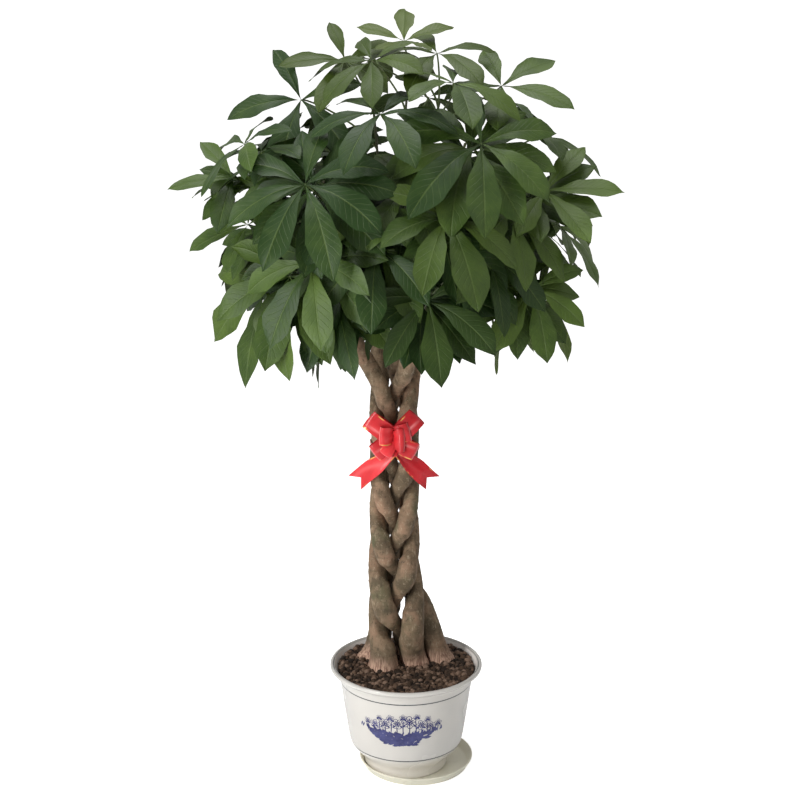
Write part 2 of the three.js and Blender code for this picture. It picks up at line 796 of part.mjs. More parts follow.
function makeCrown() {
  const random = seededRandom(5);
  const branches = makeShoots();
  const trunks = stems.map((_, index) => model.getObjectByName(`trunk_${index + 1}`));
  const obstacles = trunks.map((trunk) => obstacle(trunk.geometry, -1));
  branches.forEach((branch, owner) => obstacles.push(obstacle(branch.stalk, owner, true)));
  const wanted = [];
  outlineLeaves.forEach(([x, y, z, turn, length, count, tip, limp, facing]) => {
    wanted.push({ x, y, z, turn, length, count, tip, limp, azimuth: THREE.MathUtils.degToRad(facing) });
  });
  const outwards = ({ x, y }) => Math.atan2(y - crown.axisY, x - crown.axisX);
  frontLeaves.forEach(([x, y, z, turn, length, count, tilt]) => {
    const tip = usualTip(z) + tilt;
    wanted.push({ x, y, z, turn, length, count, tip, limp: 1, azimuth: outwards({ x, y }) });
  });
  leafRings.forEach(([z, radius, count], ring) => {
    for (let i = 0; i < count; i += 1) {
      const azimuth = ((i + 0.5 * (ring % 2)) / count) * 2 * Math.PI + 0.25 * (random() - 0.5);
      const reach = radius * (0.94 + 0.12 * random());
      const place = {
        x: crown.axisX + reach * Math.cos(azimuth),
        y: crown.axisY + reach * Math.sin(azimuth),
        z: z + 24 * (random() - 0.5),
        turn: 40 * (random() - 0.5),
        length: 138 + 28 * random(),
        count: random() < 0.4 ? 5 : 6,
        limp: 1,
      };
      place.tip = usualTip(place.z);
      place.azimuth = outwards(place);
      const apart = ({ x, y, z: height }) => Math.hypot(x - place.x, y - place.y, height - place.z);
      if (wanted.every((other) => apart(other) > crown.spacing)) wanted.push(place);
    }
  });
  const trials = leafTrials();
  wanted.forEach((place) => {
    const middle = vector(place.x, place.y, place.z);
    const nearest = branches.map((branch, index) => [branch.tip.distanceTo(middle), index])
      .sort((one, two) => one[0] - two[0]).map(([, index]) => index);
    const fan = leafletFan(place.count, place.length, place.limp, random);
    let best = null;
    for (const trial of trials) {
      const owner = nearest[trial.branchRank];
      const branch = branches[owner];
      const frame = leafFrame(
        place.x + trial.shift * Math.cos(place.azimuth),
        place.y + trial.shift * Math.sin(place.azimuth),
        place.z + trial.rise,
        place.azimuth,
        place.turn + trial.turn,
        place.tip + trial.tilt,
      );
      const stalkShape = leafStalk(branch, frame);
      const stalkBody = obstacle(closed(stalkShape), owner, true);
      const foreign = obstacles.filter((other) => other.owner !== owner || !other.isStalk);
      const stalkBlocked = foreign.some((other) => obstaclesCross(stalkBody, other));
      if (!stalkBlocked) {
        const blade = leafBlade(frame, fan);
        const clear = blade.owners.map(([first, last]) => {
          const body = obstacle(meshData(blade.points, blade.faces.slice(first, last)), owner);
          return { body, free: !obstacles.some((other) => obstaclesCross(body, other)) };
        });
        const free = clear.filter((entry) => entry.free).length;
        if (!best || free > best.free) best = { free, frame, branch, owner, stalkShape, stalkBody, clear };
        if (free === fan.length) break;
      }
    }
    if (!best || best.free < Math.min(4, fan.length)) return;
    const kept = fan.filter((_, i) => best.clear[i].free);
    const blade = leafBlade(best.frame, kept);
    const shape = meshData(blade.points, blade.faces);
    obstacles.push(obstacle(shape, best.owner), best.stalkBody);
    best.branch.leaves.push(shape, best.stalkShape);
  });
  branches.filter((branch) => branch.leaves.length > 0).forEach((branch, i) => {
    const name = `leafy_shoot_${String(i + 1).padStart(2, '0')}`;
    addPiece(name, joined([branch.stalk, ...branch.leaves]), colours.leaf, 0.5);
  });
}

// Ribbon round the braid, and the bow in front of it
function braidOutline(fromZ, toZ, margin) {
  const heights = [fromZ, (fromZ + toZ) / 2, toZ];
  const points = heights.flatMap((z) => stems.flatMap((_, index) => stemSection(index, z)));
  points.sort((one, two) => one.x - two.x || one.y - two.y);
  const turnOf = (a, b, c) => (b.x - a.x) * (c.y - a.y) - (b.y - a.y) * (c.x - a.x);
  const chain = (row) => row.reduce((hull, point) => {
    while (hull.length > 1 && turnOf(hull[hull.length - 2], hull[hull.length - 1], point) <= 1) hull.pop();
    return [...hull, point];
  }, []).slice(0, -1);
  const hull = [...chain(points), ...chain([...points].reverse())];
  const middle = hull.reduce((sum, point) => sum.add(point), vector(0, 0, 0)).divideScalar(hull.length);
  return hull.map((point) => {
    const away = new THREE.Vector2(point.x - middle.x, point.y - middle.y);
    return new THREE.Vector2(point.x, point.y).addScaledVector(away.normalize(), margin);
  });
}

function makeBowTie() {
  const { z, tieHeight, tieThickness } = bow;
  const outer = braidOutline(z - tieHeight, z, clearance + 0.5 + tieThickness);
  const shape = new THREE.Shape(outer);
  shape.holes.push(new THREE.Path(braidOutline(z - tieHeight, z, clearance + 0.5)));
  const geometry = new THREE.ExtrudeGeometry(shape, { depth: tieHeight, bevelEnabled: false });
  addPiece('bow_tie', geometry.translate(0, 0, z - tieHeight), colours.ribbon, 0.35);
  return Math.min(...outer.map((point) => point.y));
}

// A loop is a thin band round a drop-shaped hollow. Its ribbon's width lies in the front plane.
function ribbonLoop({ angle, length, width, bulge, lift }, backY) {
  const outline = (inset) => {
    const path = new THREE.Path();
    path.moveTo(inset, inset);
    path.bezierCurveTo(length * 0.45, inset, length - inset, inset, length - inset, bulge / 2);
    const front = bulge - inset;
    path.bezierCurveTo(length - inset, front, length * 0.45, front, inset, bulge * 0.6 - inset);
    path.closePath();
    return path.getPoints(4);
  };
  const shape = new THREE.Shape(outline(0));
  shape.holes.push(new THREE.Path(outline(bow.thickness)));
  const geometry = new THREE.ExtrudeGeometry(shape, { depth: width, bevelEnabled: false });
  geometry.translate(0, 0, -width / 2).scale(1, -1, 1);
  return geometry.rotateY(-THREE.MathUtils.degToRad(angle)).translate(bow.x, backY - lift, bow.z);
}

function ribbonTail({ angle, length, width, notch }, backY) {
  const shape = new THREE.Shape([
    [0, -width * 0.3],
    [length, -width / 2],
    [length - notch, 0],
    [length, width / 2],
    [0, width * 0.3],
  ].map(([x, y]) => new THREE.Vector2(x, y)));
  const geometry = new THREE.ExtrudeGeometry(shape, { depth: bow.thickness, bevelEnabled: false });
  geometry.rotateX(Math.PI / 2).rotateY(-THREE.MathUtils.degToRad(angle));
  return geometry.translate(bow.x, backY - 1, bow.z);
}

function makeBow() {
  const backY = makeBowTie() - clearance;
  const knot = new THREE.BoxGeometry(bow.knot[0], bow.knot[1], bow.knot[2]);
  knot.translate(bow.x, backY - bow.knot[1] / 2, bow.z);
  const loops = bow.loops.map((loop) => ribbonLoop(loop, backY));
  const tails = bow.tails.map((tail) => ribbonTail(tail, backY));
  addPiece('bow', joined([knot, ...loops, ...tails]), colours.ribbon, 0.35);
}

makeSaucer();
makePot();
stems.forEach((_, index) => makeStem(index));
makeSoil();
makeCrown();
makeBow();

export default model;
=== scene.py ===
import random
from math import atan2, cos, exp, hypot, pi, radians, sin, sqrt, tau

import bmesh
import bpy
from mathutils import Matrix, Vector, noise


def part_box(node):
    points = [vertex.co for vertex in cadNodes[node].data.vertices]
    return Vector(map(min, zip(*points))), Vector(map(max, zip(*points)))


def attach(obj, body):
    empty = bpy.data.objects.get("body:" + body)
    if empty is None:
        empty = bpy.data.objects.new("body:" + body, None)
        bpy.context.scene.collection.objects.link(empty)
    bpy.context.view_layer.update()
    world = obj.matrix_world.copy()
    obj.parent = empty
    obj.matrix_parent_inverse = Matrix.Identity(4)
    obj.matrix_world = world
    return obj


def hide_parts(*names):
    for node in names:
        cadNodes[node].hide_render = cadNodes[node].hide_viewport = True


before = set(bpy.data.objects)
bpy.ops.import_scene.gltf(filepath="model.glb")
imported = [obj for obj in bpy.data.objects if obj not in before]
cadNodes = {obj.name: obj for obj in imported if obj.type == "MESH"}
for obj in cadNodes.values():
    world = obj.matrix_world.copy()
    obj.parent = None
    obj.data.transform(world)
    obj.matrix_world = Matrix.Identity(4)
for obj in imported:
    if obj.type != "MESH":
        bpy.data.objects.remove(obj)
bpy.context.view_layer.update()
print("frame:", len(cadNodes), "nodes")

mm = 0.001  # one millimetre in metres


# Small helpers

def mixed(low, high, share):
    return low + (high - low) * share


def clamped(value, low=0.0, high=1.0):
    return max(low, min(high, value))


def eased(low, high, value):
    share = clamped((value - low) / (high - low))
    return share * share * (3 - 2 * share)


def hill(off, width):
    # 1 where off is 0, and less to both sides
    return exp(-(off / width) ** 2)


def between(rows, place):
    # straight lines through rows of (place, value)
    last = rows[0]
    for row in rows:
        if row[0] >= place:
            share = 0 if row[0] == last[0] else (place - last[0]) / (row[0] - last[0])
            return mixed(last[1], row[1], share)
        last = row
    return last[1]


def throughPoints(places, points, place):
    # smooth curve that passes each point at its place
    last = len(points) - 1
    leg = 0
    while leg < last - 1 and place > places[leg + 1]:
        leg += 1

    def slope(i):
        low, high = max(i - 1, 0), min(i + 1, last)
        return (points[high] - points[low]) / (places[high] - places[low])

    length = places[leg + 1] - places[leg]
    t = (place - places[leg]) / length
    start, end = slope(leg) * length, slope(leg + 1) * length
    return (
        points[leg] * (2 * t ** 3 - 3 * t ** 2 + 1)
        + start * (t ** 3 - 2 * t ** 2 + t)
        + points[leg + 1] * (3 * t ** 2 - 2 * t ** 3)
        + end * (t ** 3 - t ** 2)
    )


def arch(points, t):
    # Bezier curve of three or four points
    while len(points) > 1:
        points = [one.lerp(two, t) for one, two in zip(points, points[1:])]
    return points[0]


def heading(curve, t):
    # the way that a curve goes at t
    return (curve(min(t + 0.02, 1)) - curve(max(t - 0.02, 0))).normalized()


def distances(points):
    # the way along the points from the first one
    way = [0.0]
    for one, two in zip(points, points[1:]):
        way.append(way[-1] + (two - one).length)
    return way


def begin(name, add, **sizes):
    # a primitive with nothing else selected
    bpy.ops.object.select_all(action="DESELECT")
    add(**sizes)
    piece = bpy.context.object
    piece.name = name
    piece.data.name = name
    return piece


def focus(*pieces):
    bpy.ops.object.select_all(action="DESELECT")
    for piece in pieces:
        piece.select_set(True)
    bpy.context.view_layer.objects.active = pieces[0]


def selectAll():
    bpy.ops.mesh.select_all(action="SELECT")


def editMode():
    bpy.ops.object.mode_set(mode="EDIT")
    selectAll()


def objectMode():
    bpy.ops.object.mode_set(mode="OBJECT")


def pick(piece, **tests):
    # in edit mode: selects just the verts, edges or faces that pass their test
    shape = bmesh.from_edit_mesh(piece.data)
    for part in (*shape.faces, *shape.edges, *shape.verts):
        part.select = False
    for kind, test in tests.items():
        for part in getattr(shape, kind):
            if test(part):
                part.select_set(True)
    bmesh.update_edit_mesh(piece.data)


def move(*way):
    # in edit mode, for what is selected; the next two as well
    bpy.ops.transform.translate(value=way)


def scaleFromAxis(*sizes, z=0):
    bpy.ops.transform.resize(value=sizes, center_override=(0, 0, z))


def extrudeUp(rise):
    bpy.ops.mesh.extrude_region_move(TRANSFORM_OT_translate={"value": (0, 0, rise)})


def faceOutwards():
    selectAll()
    bpy.ops.mesh.normals_make_consistent(inside=False)


def copyOf(piece, name):
    twin = piece.copy()
    twin.data = piece.data.copy()
    twin.name = name
    bpy.context.scene.collection.objects.link(twin)
    return twin


def placedCopy(piece, name, place, turn, sizes):
    # made larger or smaller, turned and moved
    part = copyOf(piece, name)
    part.data.transform(Matrix.LocRotScale(Vector(place), turn, Vector(sizes)))
    return part


def remove(piece):
    mesh = piece.data
    bpy.data.objects.remove(piece)
    bpy.data.meshes.remove(mesh)


def joined(name, pieces):
    focus(*pieces)
    bpy.ops.object.join()
    whole = bpy.context.object
    whole.name = name
    whole.data.name = name
    return whole


def shapeBy(piece, place):
    # moves every point of a mesh in code
    for point in piece.data.vertices:
        point.co = place(point.co)
    piece.data.update()


def paint(piece, **tones):
    # attributes for the material: one value for all points, or a function of a point's place
    for name, value in tones.items():
        layer = piece.data.attributes.new(name, "FLOAT", "POINT")
        values = [value(point.co) if callable(value) else value for point in piece.data.vertices]
        layer.data.foreach_set("value", values)


def dress(piece, *materials):
    for material in materials:
        piece.data.materials.append(material)


def smoothShade(piece, angle=None):
    focus(piece)
    if angle is None:
        bpy.ops.object.shade_smooth()
    else:
        bpy.ops.object.shade_smooth_by_angle(angle=radians(angle))


def setAside(piece, slot, *stands):
    # hands a finished piece to the frame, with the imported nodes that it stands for
    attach(piece, "root")
    if stands:
        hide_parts(*stands)


class Wire:
    # one socket of a material; sums and products of wires become Math nodes
    def __init__(self, tree, socket=None):
        self.tree = tree
        self.socket = socket

    def node(self, kind, settings=None, sockets=None, out=0):
        made = self.tree.nodes.new(kind)
        for name, value in (settings or {}).items():
            setattr(made, name, value)
        for name, value in (sockets or {}).items():
            if isinstance(value, Wire):
                self.tree.links.new(value.socket, made.inputs[name])
            else:
                made.inputs[name].default_value = value
        return Wire(self.tree, made.outputs[out])

    def maths(self, operation, *values):
        return self.node("ShaderNodeMath", {"operation": operation}, dict(enumerate(values)))

    def __add__(self, other):
        return self.maths("ADD", self, other)

    def __sub__(self, other):
        return self.maths("SUBTRACT", self, other)

    def __rsub__(self, other):
        return self.maths("SUBTRACT", other, self)

    def __mul__(self, other):
        return self.maths("MULTIPLY", self, other)

    def __pow__(self, other):
        return self.maths("POWER", self, other)

    __radd__ = __add__
    __rmul__ = __mul__

    def step(self, low, high):
        # 0 below low, 1 above high, eased between
        settings = {"interpolation_type": "SMOOTHSTEP"}
        return self.node("ShaderNodeMapRange", settings, {0: self, 1: low, 2: high, 3: 0.0, 4: 1.0})

    def fromMiddle(self):
        # 0 at one half, 1 at 0 and at 1
        off = self - 0.5
        return self.maths("ABSOLUTE", off) * 2

    def over(self, *colours):
        # this wire as the share of the second colour laid over the first
        ends = [colour if isinstance(colour, Wire) else (*colour, 1) for colour in colours]
        return self.node("ShaderNodeMix", {"data_type": "RGBA"}, {0: self, 6: ends[0], 7: ends[1]}, 2)

    def grain(self, scale, detail=3.0, roughness=0.55, stretch=(1, 1, 1), kind="Object"):
        place = self.node("ShaderNodeTexCoord", out=kind)
        place = self.node("ShaderNodeMapping", None, {"Vector": place, "Scale": stretch})
        sockets = {"Vector": place, "Scale": scale, "Detail": detail, "Roughness": roughness}
        return self.node("ShaderNodeTexNoise", None, sockets)

    def axis(self, kind, number):
        place = self.node("ShaderNodeTexCoord", out=kind)
        return self.node("ShaderNodeSeparateXYZ", None, {0: place}, number)

    def value(self, attribute):
        return self.node("ShaderNodeAttribute", {"attribute_name": attribute}, None, "Fac")

    def height(self, strength, distance, height):
        sockets = {"Strength": strength, "Distance": distance, "Height": height}
        return self.node("ShaderNodeBump", None, sockets)


def layered(base, *coats):
    # lays each coat's colour over the base: mask, strength, colour
    for mask, strength, colour in coats:
        base = (mask * strength).over(base, colour)
    return base


shaderSockets = {
    "colour": "Base Color",
    "roughness": "Roughness",
    "metallic": "Metallic",
    "normal": "Normal",
    "specular": "Specular IOR Level",
    "coat": "Coat Weight",
    "coatRoughness": "Coat Roughness",
    "glow": "Emission Color",
    "glowStrength": "Emission Strength",
}


def finish(name, **values):
    # a new material with its plain numbers, and a wire to start from
    made = bpy.data.materials.new(name)
    made.use_nodes = True
    for key, value in values.items():
        made.node_tree.nodes["Principled BSDF"].inputs[shaderSockets[key]].default_value = value
    return made, Wire(made.node_tree)


def feed(material, **wires):
    for key, wire in wires.items():
        socket = material.node_tree.nodes["Principled BSDF"].inputs[shaderSockets[key]]
        material.node_tree.links.new(wire.socket, socket)


# Camera, light and floor

shot = {
    "eye": (-12, -2640, 1390),
    "down": 13.7,  # degrees
    "focal": 1437,  # pixels of the frame
    "frame": 800,
    "sensor": 36,
    "furthest": 60,  # metres
}

lamps = {
    # place, width and height, power, height that it is aimed at
    "window": ((-2.6, -2.0, 2.6), (1.3, 1.3), 58, 0.9),
    "left strip": ((-1.05, -1.25, 0.72), (0.07, 1.2), 13, 0.66),
    "room": ((2.4, -1.6, 2.8), (1.4, 1.4), 9, 1.2),
    "top": ((-0.2, 0.2, 4.0), (2.0, 2.0), 62, 1.2),
}

studio = {
    "allRound": 0.36,  # light from all sides
    "floor": 24,  # metres square
    "back": 9,  # from the object to where the floor turns up
    "rise": 9,
    "bend": 3.5,
    "bendSteps": 16,
    "white": (0.93, 0.93, 0.925),
    "offWhite": (0.90, 0.90, 0.895),
    "glow": 0.68,
    "glowAside": 0.2,  # share of the glow that lights other things
}

camera = bpy.data.objects.new("camera", bpy.data.cameras.new("camera"))
bpy.context.scene.collection.objects.link(camera)
camera.location = Vector(shot["eye"]) * mm
camera.rotation_euler = (radians(90 - shot["down"]), 0, 0)
camera.data.sensor_width = shot["sensor"]
camera.data.lens = shot["sensor"] * shot["focal"] / shot["frame"]
camera.data.clip_end = shot["furthest"]
bpy.context.scene.camera = camera
bpy.context.scene.view_settings.view_transform = "Standard"

for name, (place, size, power, aim) in lamps.items():
    lamp = bpy.data.objects.new(name, bpy.data.lights.new(name, "AREA"))
    lamp.data.shape = "RECTANGLE"
    lamp.data.size, lamp.data.size_y = size
    lamp.data.energy = power
    lamp.location = place
    lamp.rotation_euler = (Vector((0, 0, aim)) - Vector(place)).to_track_quat("-Z", "Y").to_euler()
    bpy.context.scene.collection.objects.link(lamp)

world = bpy.data.worlds.new("room light")
bpy.context.scene.world = world
world.use_nodes = True
world.node_tree.nodes["Background"].inputs["Color"].default_value = (1, 1, 1, 1)
world.node_tree.nodes["Background"].inputs["Strength"].default_value = studio["allRound"]

floor = begin("floor", bpy.ops.mesh.primitive_plane_add, size=studio["floor"], location=(0, 0, 0))
editMode()
pick(floor, edges=lambda edge: all(v.co.y > 0 for v in edge.verts))
move(0, studio["back"] - studio["floor"] / 2, 0)
extrudeUp(studio["rise"])
pick(floor, edges=lambda edge: all(v.co.y > 0 and v.co.z < 0.1 for v in edge.verts))
bpy.ops.mesh.bevel(offset=studio["bend"], segments=studio["bendSteps"])
objectMode()
smoothShade(floor)
paper, wire = finish("pale floor", roughness=0.9, specular=0.1, glowStrength=studio["glow"])
direct = wire.node("ShaderNodeLightPath")  # 1 where the floor itself is seen, 0 where it lights other things
feed(
    paper,
    colour=wire.grain(1.5).over(studio["offWhite"], studio["white"]),
    glow=direct.over((studio["glowAside"],) * 3, (1, 1, 1)),
)
dress(floor, paper)
print("camera, light and floor")


# Pot and saucer

saucerSetup = {
    "floorRadius": 103.5,
    "rimRadius": 113,
    "height": 18,
    "wall": 2.4,
    "groove": (60, 56),  # a fine one round the middle of its floor, from and to this radius
    "shiftX": 20,
    "sides": 128,
    "cream": (0.76, 0.73, 0.60),
    "darkCream": (0.68, 0.66, 0.54),
    "stain": (0.42, 0.38, 0.28),
}

potSetup = {
    "sides": 128,
    "bottom": 2.7,
    "footEdge": 1.6,  # height of the rounding under the foot
    "outer": [
        (82, 2.7), (85.5, 24), (106, 47), (113, 64), (122.5, 127), (132, 190), (141, 202), (149.4, 208.5),
    ],
    "rings": 6,  # from one of those to the next
    "lip": [
        (149.9, 210.4), (149.8, 212.4), (148.9, 213.9), (147.4, 214.8), (145.8, 215), (144.6, 214.6),
        (144.1, 213.4), (143.7, 212.2), (142.5, 212.2), (142.1, 213.4), (141.4, 213.2),
    ],
    "groove": (142.3, 143.9),  # dark ring in the lip: the floor of its groove is painted dark, a painted shade
    "inner": [(140.6, 211), (135.7, 202), (128.7, 190), (109.7, 68), (102.7, 51), (80.7, 27), (78.7, 7)],
    "lines": [(182.2, 2.4), (55, 2.6)],  # middle and height of the dark lines
    "lineFrom": 100,  # they are outside this radius
    "shownInside": (60, 212),  # heights of the inner wall that is painted lighter, a painted light against the shade inside the pot
    "glaze": (0.595, 0.57, 0.53),
    "glazeShade": (0.555, 0.538, 0.508),
    # painted light: the foot is painted lighter against the shade under the pot's body
    "footPaintedLight": (0.86, 0.82, 0.76),
    # painted light: the inner wall is painted lighter against the shade inside the pot
    "insidePaintedLight": (0.92, 0.87, 0.82),
    "dust": (0.5, 0.47, 0.43),
    "line": (0.030, 0.034, 0.034),
    "wornLine": (0.085, 0.09, 0.09),
}


def climb(rings):
    # in edit mode, from a selected ring: one extrusion for each further ring of (radius, height)
    for (radius, z), (nextRadius, nextZ) in zip(rings, rings[1:]):
        extrudeUp((nextZ - z) * mm)
        size = nextRadius / radius
        scaleFromAxis(size, size, 1, z=nextZ * mm)


def turnedPiece(name, rings, sides):
    # a round piece that starts from the disc under it and ends in its inner floor
    radius, z = rings[0]
    piece = begin(name, bpy.ops.mesh.primitive_circle_add, vertices=sides, radius=radius * mm,
                  fill_type="TRIFAN", location=(0, 0, z * mm))
    bpy.ops.object.transform_apply()
    editMode()
    pick(piece, edges=lambda edge: edge.is_boundary)
    climb(rings)
    bpy.ops.mesh.edge_face_add()
    bpy.ops.mesh.poke()
    faceOutwards()
    objectMode()
    return piece


def potRings():
    # the pot's outside as (radius, height), with the edges of the dark lines
    outer = [Vector(ring) for ring in potSetup["outer"]]
    places = list(range(len(outer)))
    steps = places[-1] * potSetup["rings"]
    side = [tuple(throughPoints(places, outer, i / potSetup["rings"])) for i in range(steps + 1)]
    side[0] = (side[0][0], potSetup["bottom"] + potSetup["footEdge"])
    for middle, tall in potSetup["lines"]:
        low, high = middle - tall / 2, middle + tall / 2
        radii = [(z, r) for r, z in side]
        edges = [(between(radii, z), z) for z in (low, high)]
        side = [ring for ring in side if not low - 1 < ring[1] < high + 1] + edges
        side.sort(key=lambda ring: ring[1])
    return side


def makeSaucer():
    floorRadius, rimRadius, top = (saucerSetup[key] for key in ("floorRadius", "rimRadius", "height"))
    wall = saucerSetup["wall"]
    grooveFrom, grooveTo = saucerSetup["groove"]
    tray = turnedPiece("saucer_tray", [
        (floorRadius - 6, 0), (floorRadius - 0.6, 0), (floorRadius + 0.5, 0.8),
        (rimRadius - 1.4, top - 3), (rimRadius - 0.1, top - 2), (rimRadius - 0.1, top - 0.6),
        (rimRadius - 0.8, top), (rimRadius - 2.1, top), (rimRadius - 3.2, top - 1),
        (floorRadius - 0.6, 4.6), (floorRadius - 2.6, 2.9), (floorRadius - 6, wall),
        (grooveFrom, wall), ((grooveFrom + grooveTo) / 2, wall - 0.5), (grooveTo, wall),
    ], saucerSetup["sides"])
    shapeBy(tray, lambda co: co + Vector((saucerSetup["shiftX"] * mm, 0, 0)))
    return tray


def fromAxis(co):
    return hypot(co.x, co.y) / mm


def isDark(face):
    z, radius = face.center.z / mm, fromAxis(face.center)
    # the groove's floor gets the line colour as painted shade; the lines round the pot are printed
    inGroove = potSetup["groove"][0] < radius < potSetup["groove"][1] and face.normal.z > 0.9
    onLine = any(abs(z - middle) < tall / 2 - 0.1 for middle, tall in potSetup["lines"])
    return inGroove and z > potSetup["lip"][0][1] or onLine and radius > potSetup["lineFrom"]


def isInside(co):
    low, high = potSetup["shownInside"]
    z = co.z / mm
    return float(low < z < high and fromAxis(co) < between(potProfile, z) - 1)


potSide = potRings()
potProfile = [(z, r) for r, z in potSide]
footRadius = potSide[0][0]
potFoot = [(footRadius - 4, potSetup["bottom"]), (footRadius - 1.2, potSetup["bottom"])]
pot = turnedPiece("pot_body", potFoot + potSide + potSetup["lip"] + potSetup["inner"], potSetup["sides"])

glaze, wire = finish("white pot", coat=0.35, coatRoughness=0.12)
cloud = wire.grain(7)
base = cloud.step(0.35, 0.7).over(potSetup["glaze"], potSetup["glazeShade"])
base = layered(
    base,
    # painted light: the foot is painted lighter against its shade
    (1 - wire.axis("Object", 2).step(0.030, 0.062), 0.9, potSetup["footPaintedLight"]),
    # painted light: the inner wall is painted lighter against the shade inside the pot
    (wire.value("inside"), 1.0, potSetup["insidePaintedLight"]),
    (wire.grain(160, 4).step(0.56, 0.74), 0.10, potSetup["dust"]),
)
relief = wire.grain(55, 2)
feed(glaze, colour=base, roughness=0.2 + cloud * 0.12, normal=wire.height(0.15, 0.0006, relief))

# printed dark lines, also used as painted shade in the lip's groove
line, wire = finish("dark line and painted groove shade", roughness=0.3, coat=0.3)
worn = wire.grain(120, 3).step(0.3, 0.7)
feed(line, colour=worn.over(potSetup["line"], potSetup["wornLine"]))

dress(pot, glaze, line)
for face in pot.data.polygons:
    face.material_index = int(isDark(face))
# marks the inner wall that gets the painted light
paint(pot, inside=isInside)
smoothShade(pot, 32)
setAside(pot, "pot_plastic", "pot")

cream, wire = finish("cream saucer", coat=0.15, coatRoughness=0.2)
cloud = wire.grain(9, 4)
stain = wire.grain(34, 5, 0.65).step(0.56, 0.72)
base = cloud.step(0.3, 0.75).over(saucerSetup["cream"], saucerSetup["darkCream"])
feed(
    cream,
    colour=layered(base, (stain, 0.35, saucerSetup["stain"])),
    roughness=0.28 + cloud * 0.2,
    normal=wire.height(0.12, 0.0006, wire.grain(70, 2)),
)
saucer = makeSaucer()
dress(saucer, cream)
smoothShade(saucer, 40)
setAside(saucer, "saucer_plastic", "saucer")
print("pot and saucer")


# Blue print on the front of the pot: a garland of leaves under blossoms

printSetup = {
    "middle": (-10, 125),  # along the pot's front and height
    "reach": 86,  # to the left and the right
    "under": (-33, 40, 2.4),  # height of the garland's edges in the middle, rise to the ends, power
    "upper": (-9, 8, 3),
    "columnStep": 4.2,
    "rowStep": 3.7,
    "leaf": (13, 18, 5.4),  # shortest, longest, width
    "leans": (-0.45, -0.2, 0.25, 0.5),  # radians from the garland's own slope
    "full": 0.45,  # gaps begin past this share of the reach
    "gapsLeave": 0.62,  # share of the leaves that are left there
    "grass": (9, 15, 3.2, 0.7),  # shortest, longest, width, share of the columns that have a blade
    "grassLean": 0.5,
    "rooted": (3, 4),  # grass and blossom stalks start this far under the garland's upper edge
    "stalkWidth": 2.0,
    "stalkLean": 0.1,
    "sideLeaf": (8, 3),
    "sideLean": (0.5, 1.1),
    "sidePlace": (0.46, 0.42),  # beside and below a blossom, as shares of its size
    "petal": (0.13, 0.44, 0.42),  # way from the middle, length and width as shares of the blossom's size
    "petalStroke": (0.27, 0.10),  # the stroke in a petal
    "petalOutline": 0.24,  # width of its outline, against half its own
    "eye": 0.15,
    "leafEnds": [(1, 0.45), (-1, 0.7)],  # both are pointed, and the tip is slimmer than the root
    "stampSides": 14,
    "blossoms": [  # along the front, height, size
        (-78, 137, 13), (-62, 134, 18), (-41, 138, 21), (-17, 140, 21), (6, 144, 25), (29, 137, 20),
        (47, 133, 18), (63, 136, 14), (-30, 151, 14), (-6, 154, 13), (20, 155, 12), (-52, 149, 11),
        (41, 149, 12),
    ],
    "manyPetals": 20,  # blossoms above this size have six petals, the others five
    "lift": 0.25,  # above the glaze
    "seed": 4,
    "deep": (0.018, 0.020, 0.110),
    "light": (0.048, 0.053, 0.185),
    "thin": (0.36, 0.36, 0.50),
}


def printPoint(co):
    # a place on the flat print, laid round the pot
    radius = between(potProfile, co.y) + printSetup["lift"]
    angle = co.x / between(potProfile, printSetup["middle"][1])
    return Vector((radius * sin(angle), -radius * cos(angle), co.y)) * mm


def makePrintLeaf():
    leaf = begin("print_leaf", bpy.ops.mesh.primitive_circle_add, vertices=printSetup["stampSides"],
                 radius=1, fill_type="TRIFAN")
    editMode()
    for side, squeeze in printSetup["leafEnds"]:
        pick(leaf, verts=lambda vert: vert.co.x * side > 0.5)
        scaleFromAxis(1, squeeze, 1)
    selectAll()
    move(1, 0, 0)
    objectMode()
    return leaf


def makePrintRing():
    # the outline of a petal, as a thin stroke
    ring = begin("print_ring", bpy.ops.mesh.primitive_circle_add, vertices=printSetup["stampSides"],
                 radius=1, fill_type="NGON")
    editMode()
    bpy.ops.mesh.inset(thickness=printSetup["petalOutline"])
    bpy.ops.mesh.delete(type="ONLY_FACE")
    selectAll()
    move(1, 0, 0)
    objectMode()
    return ring


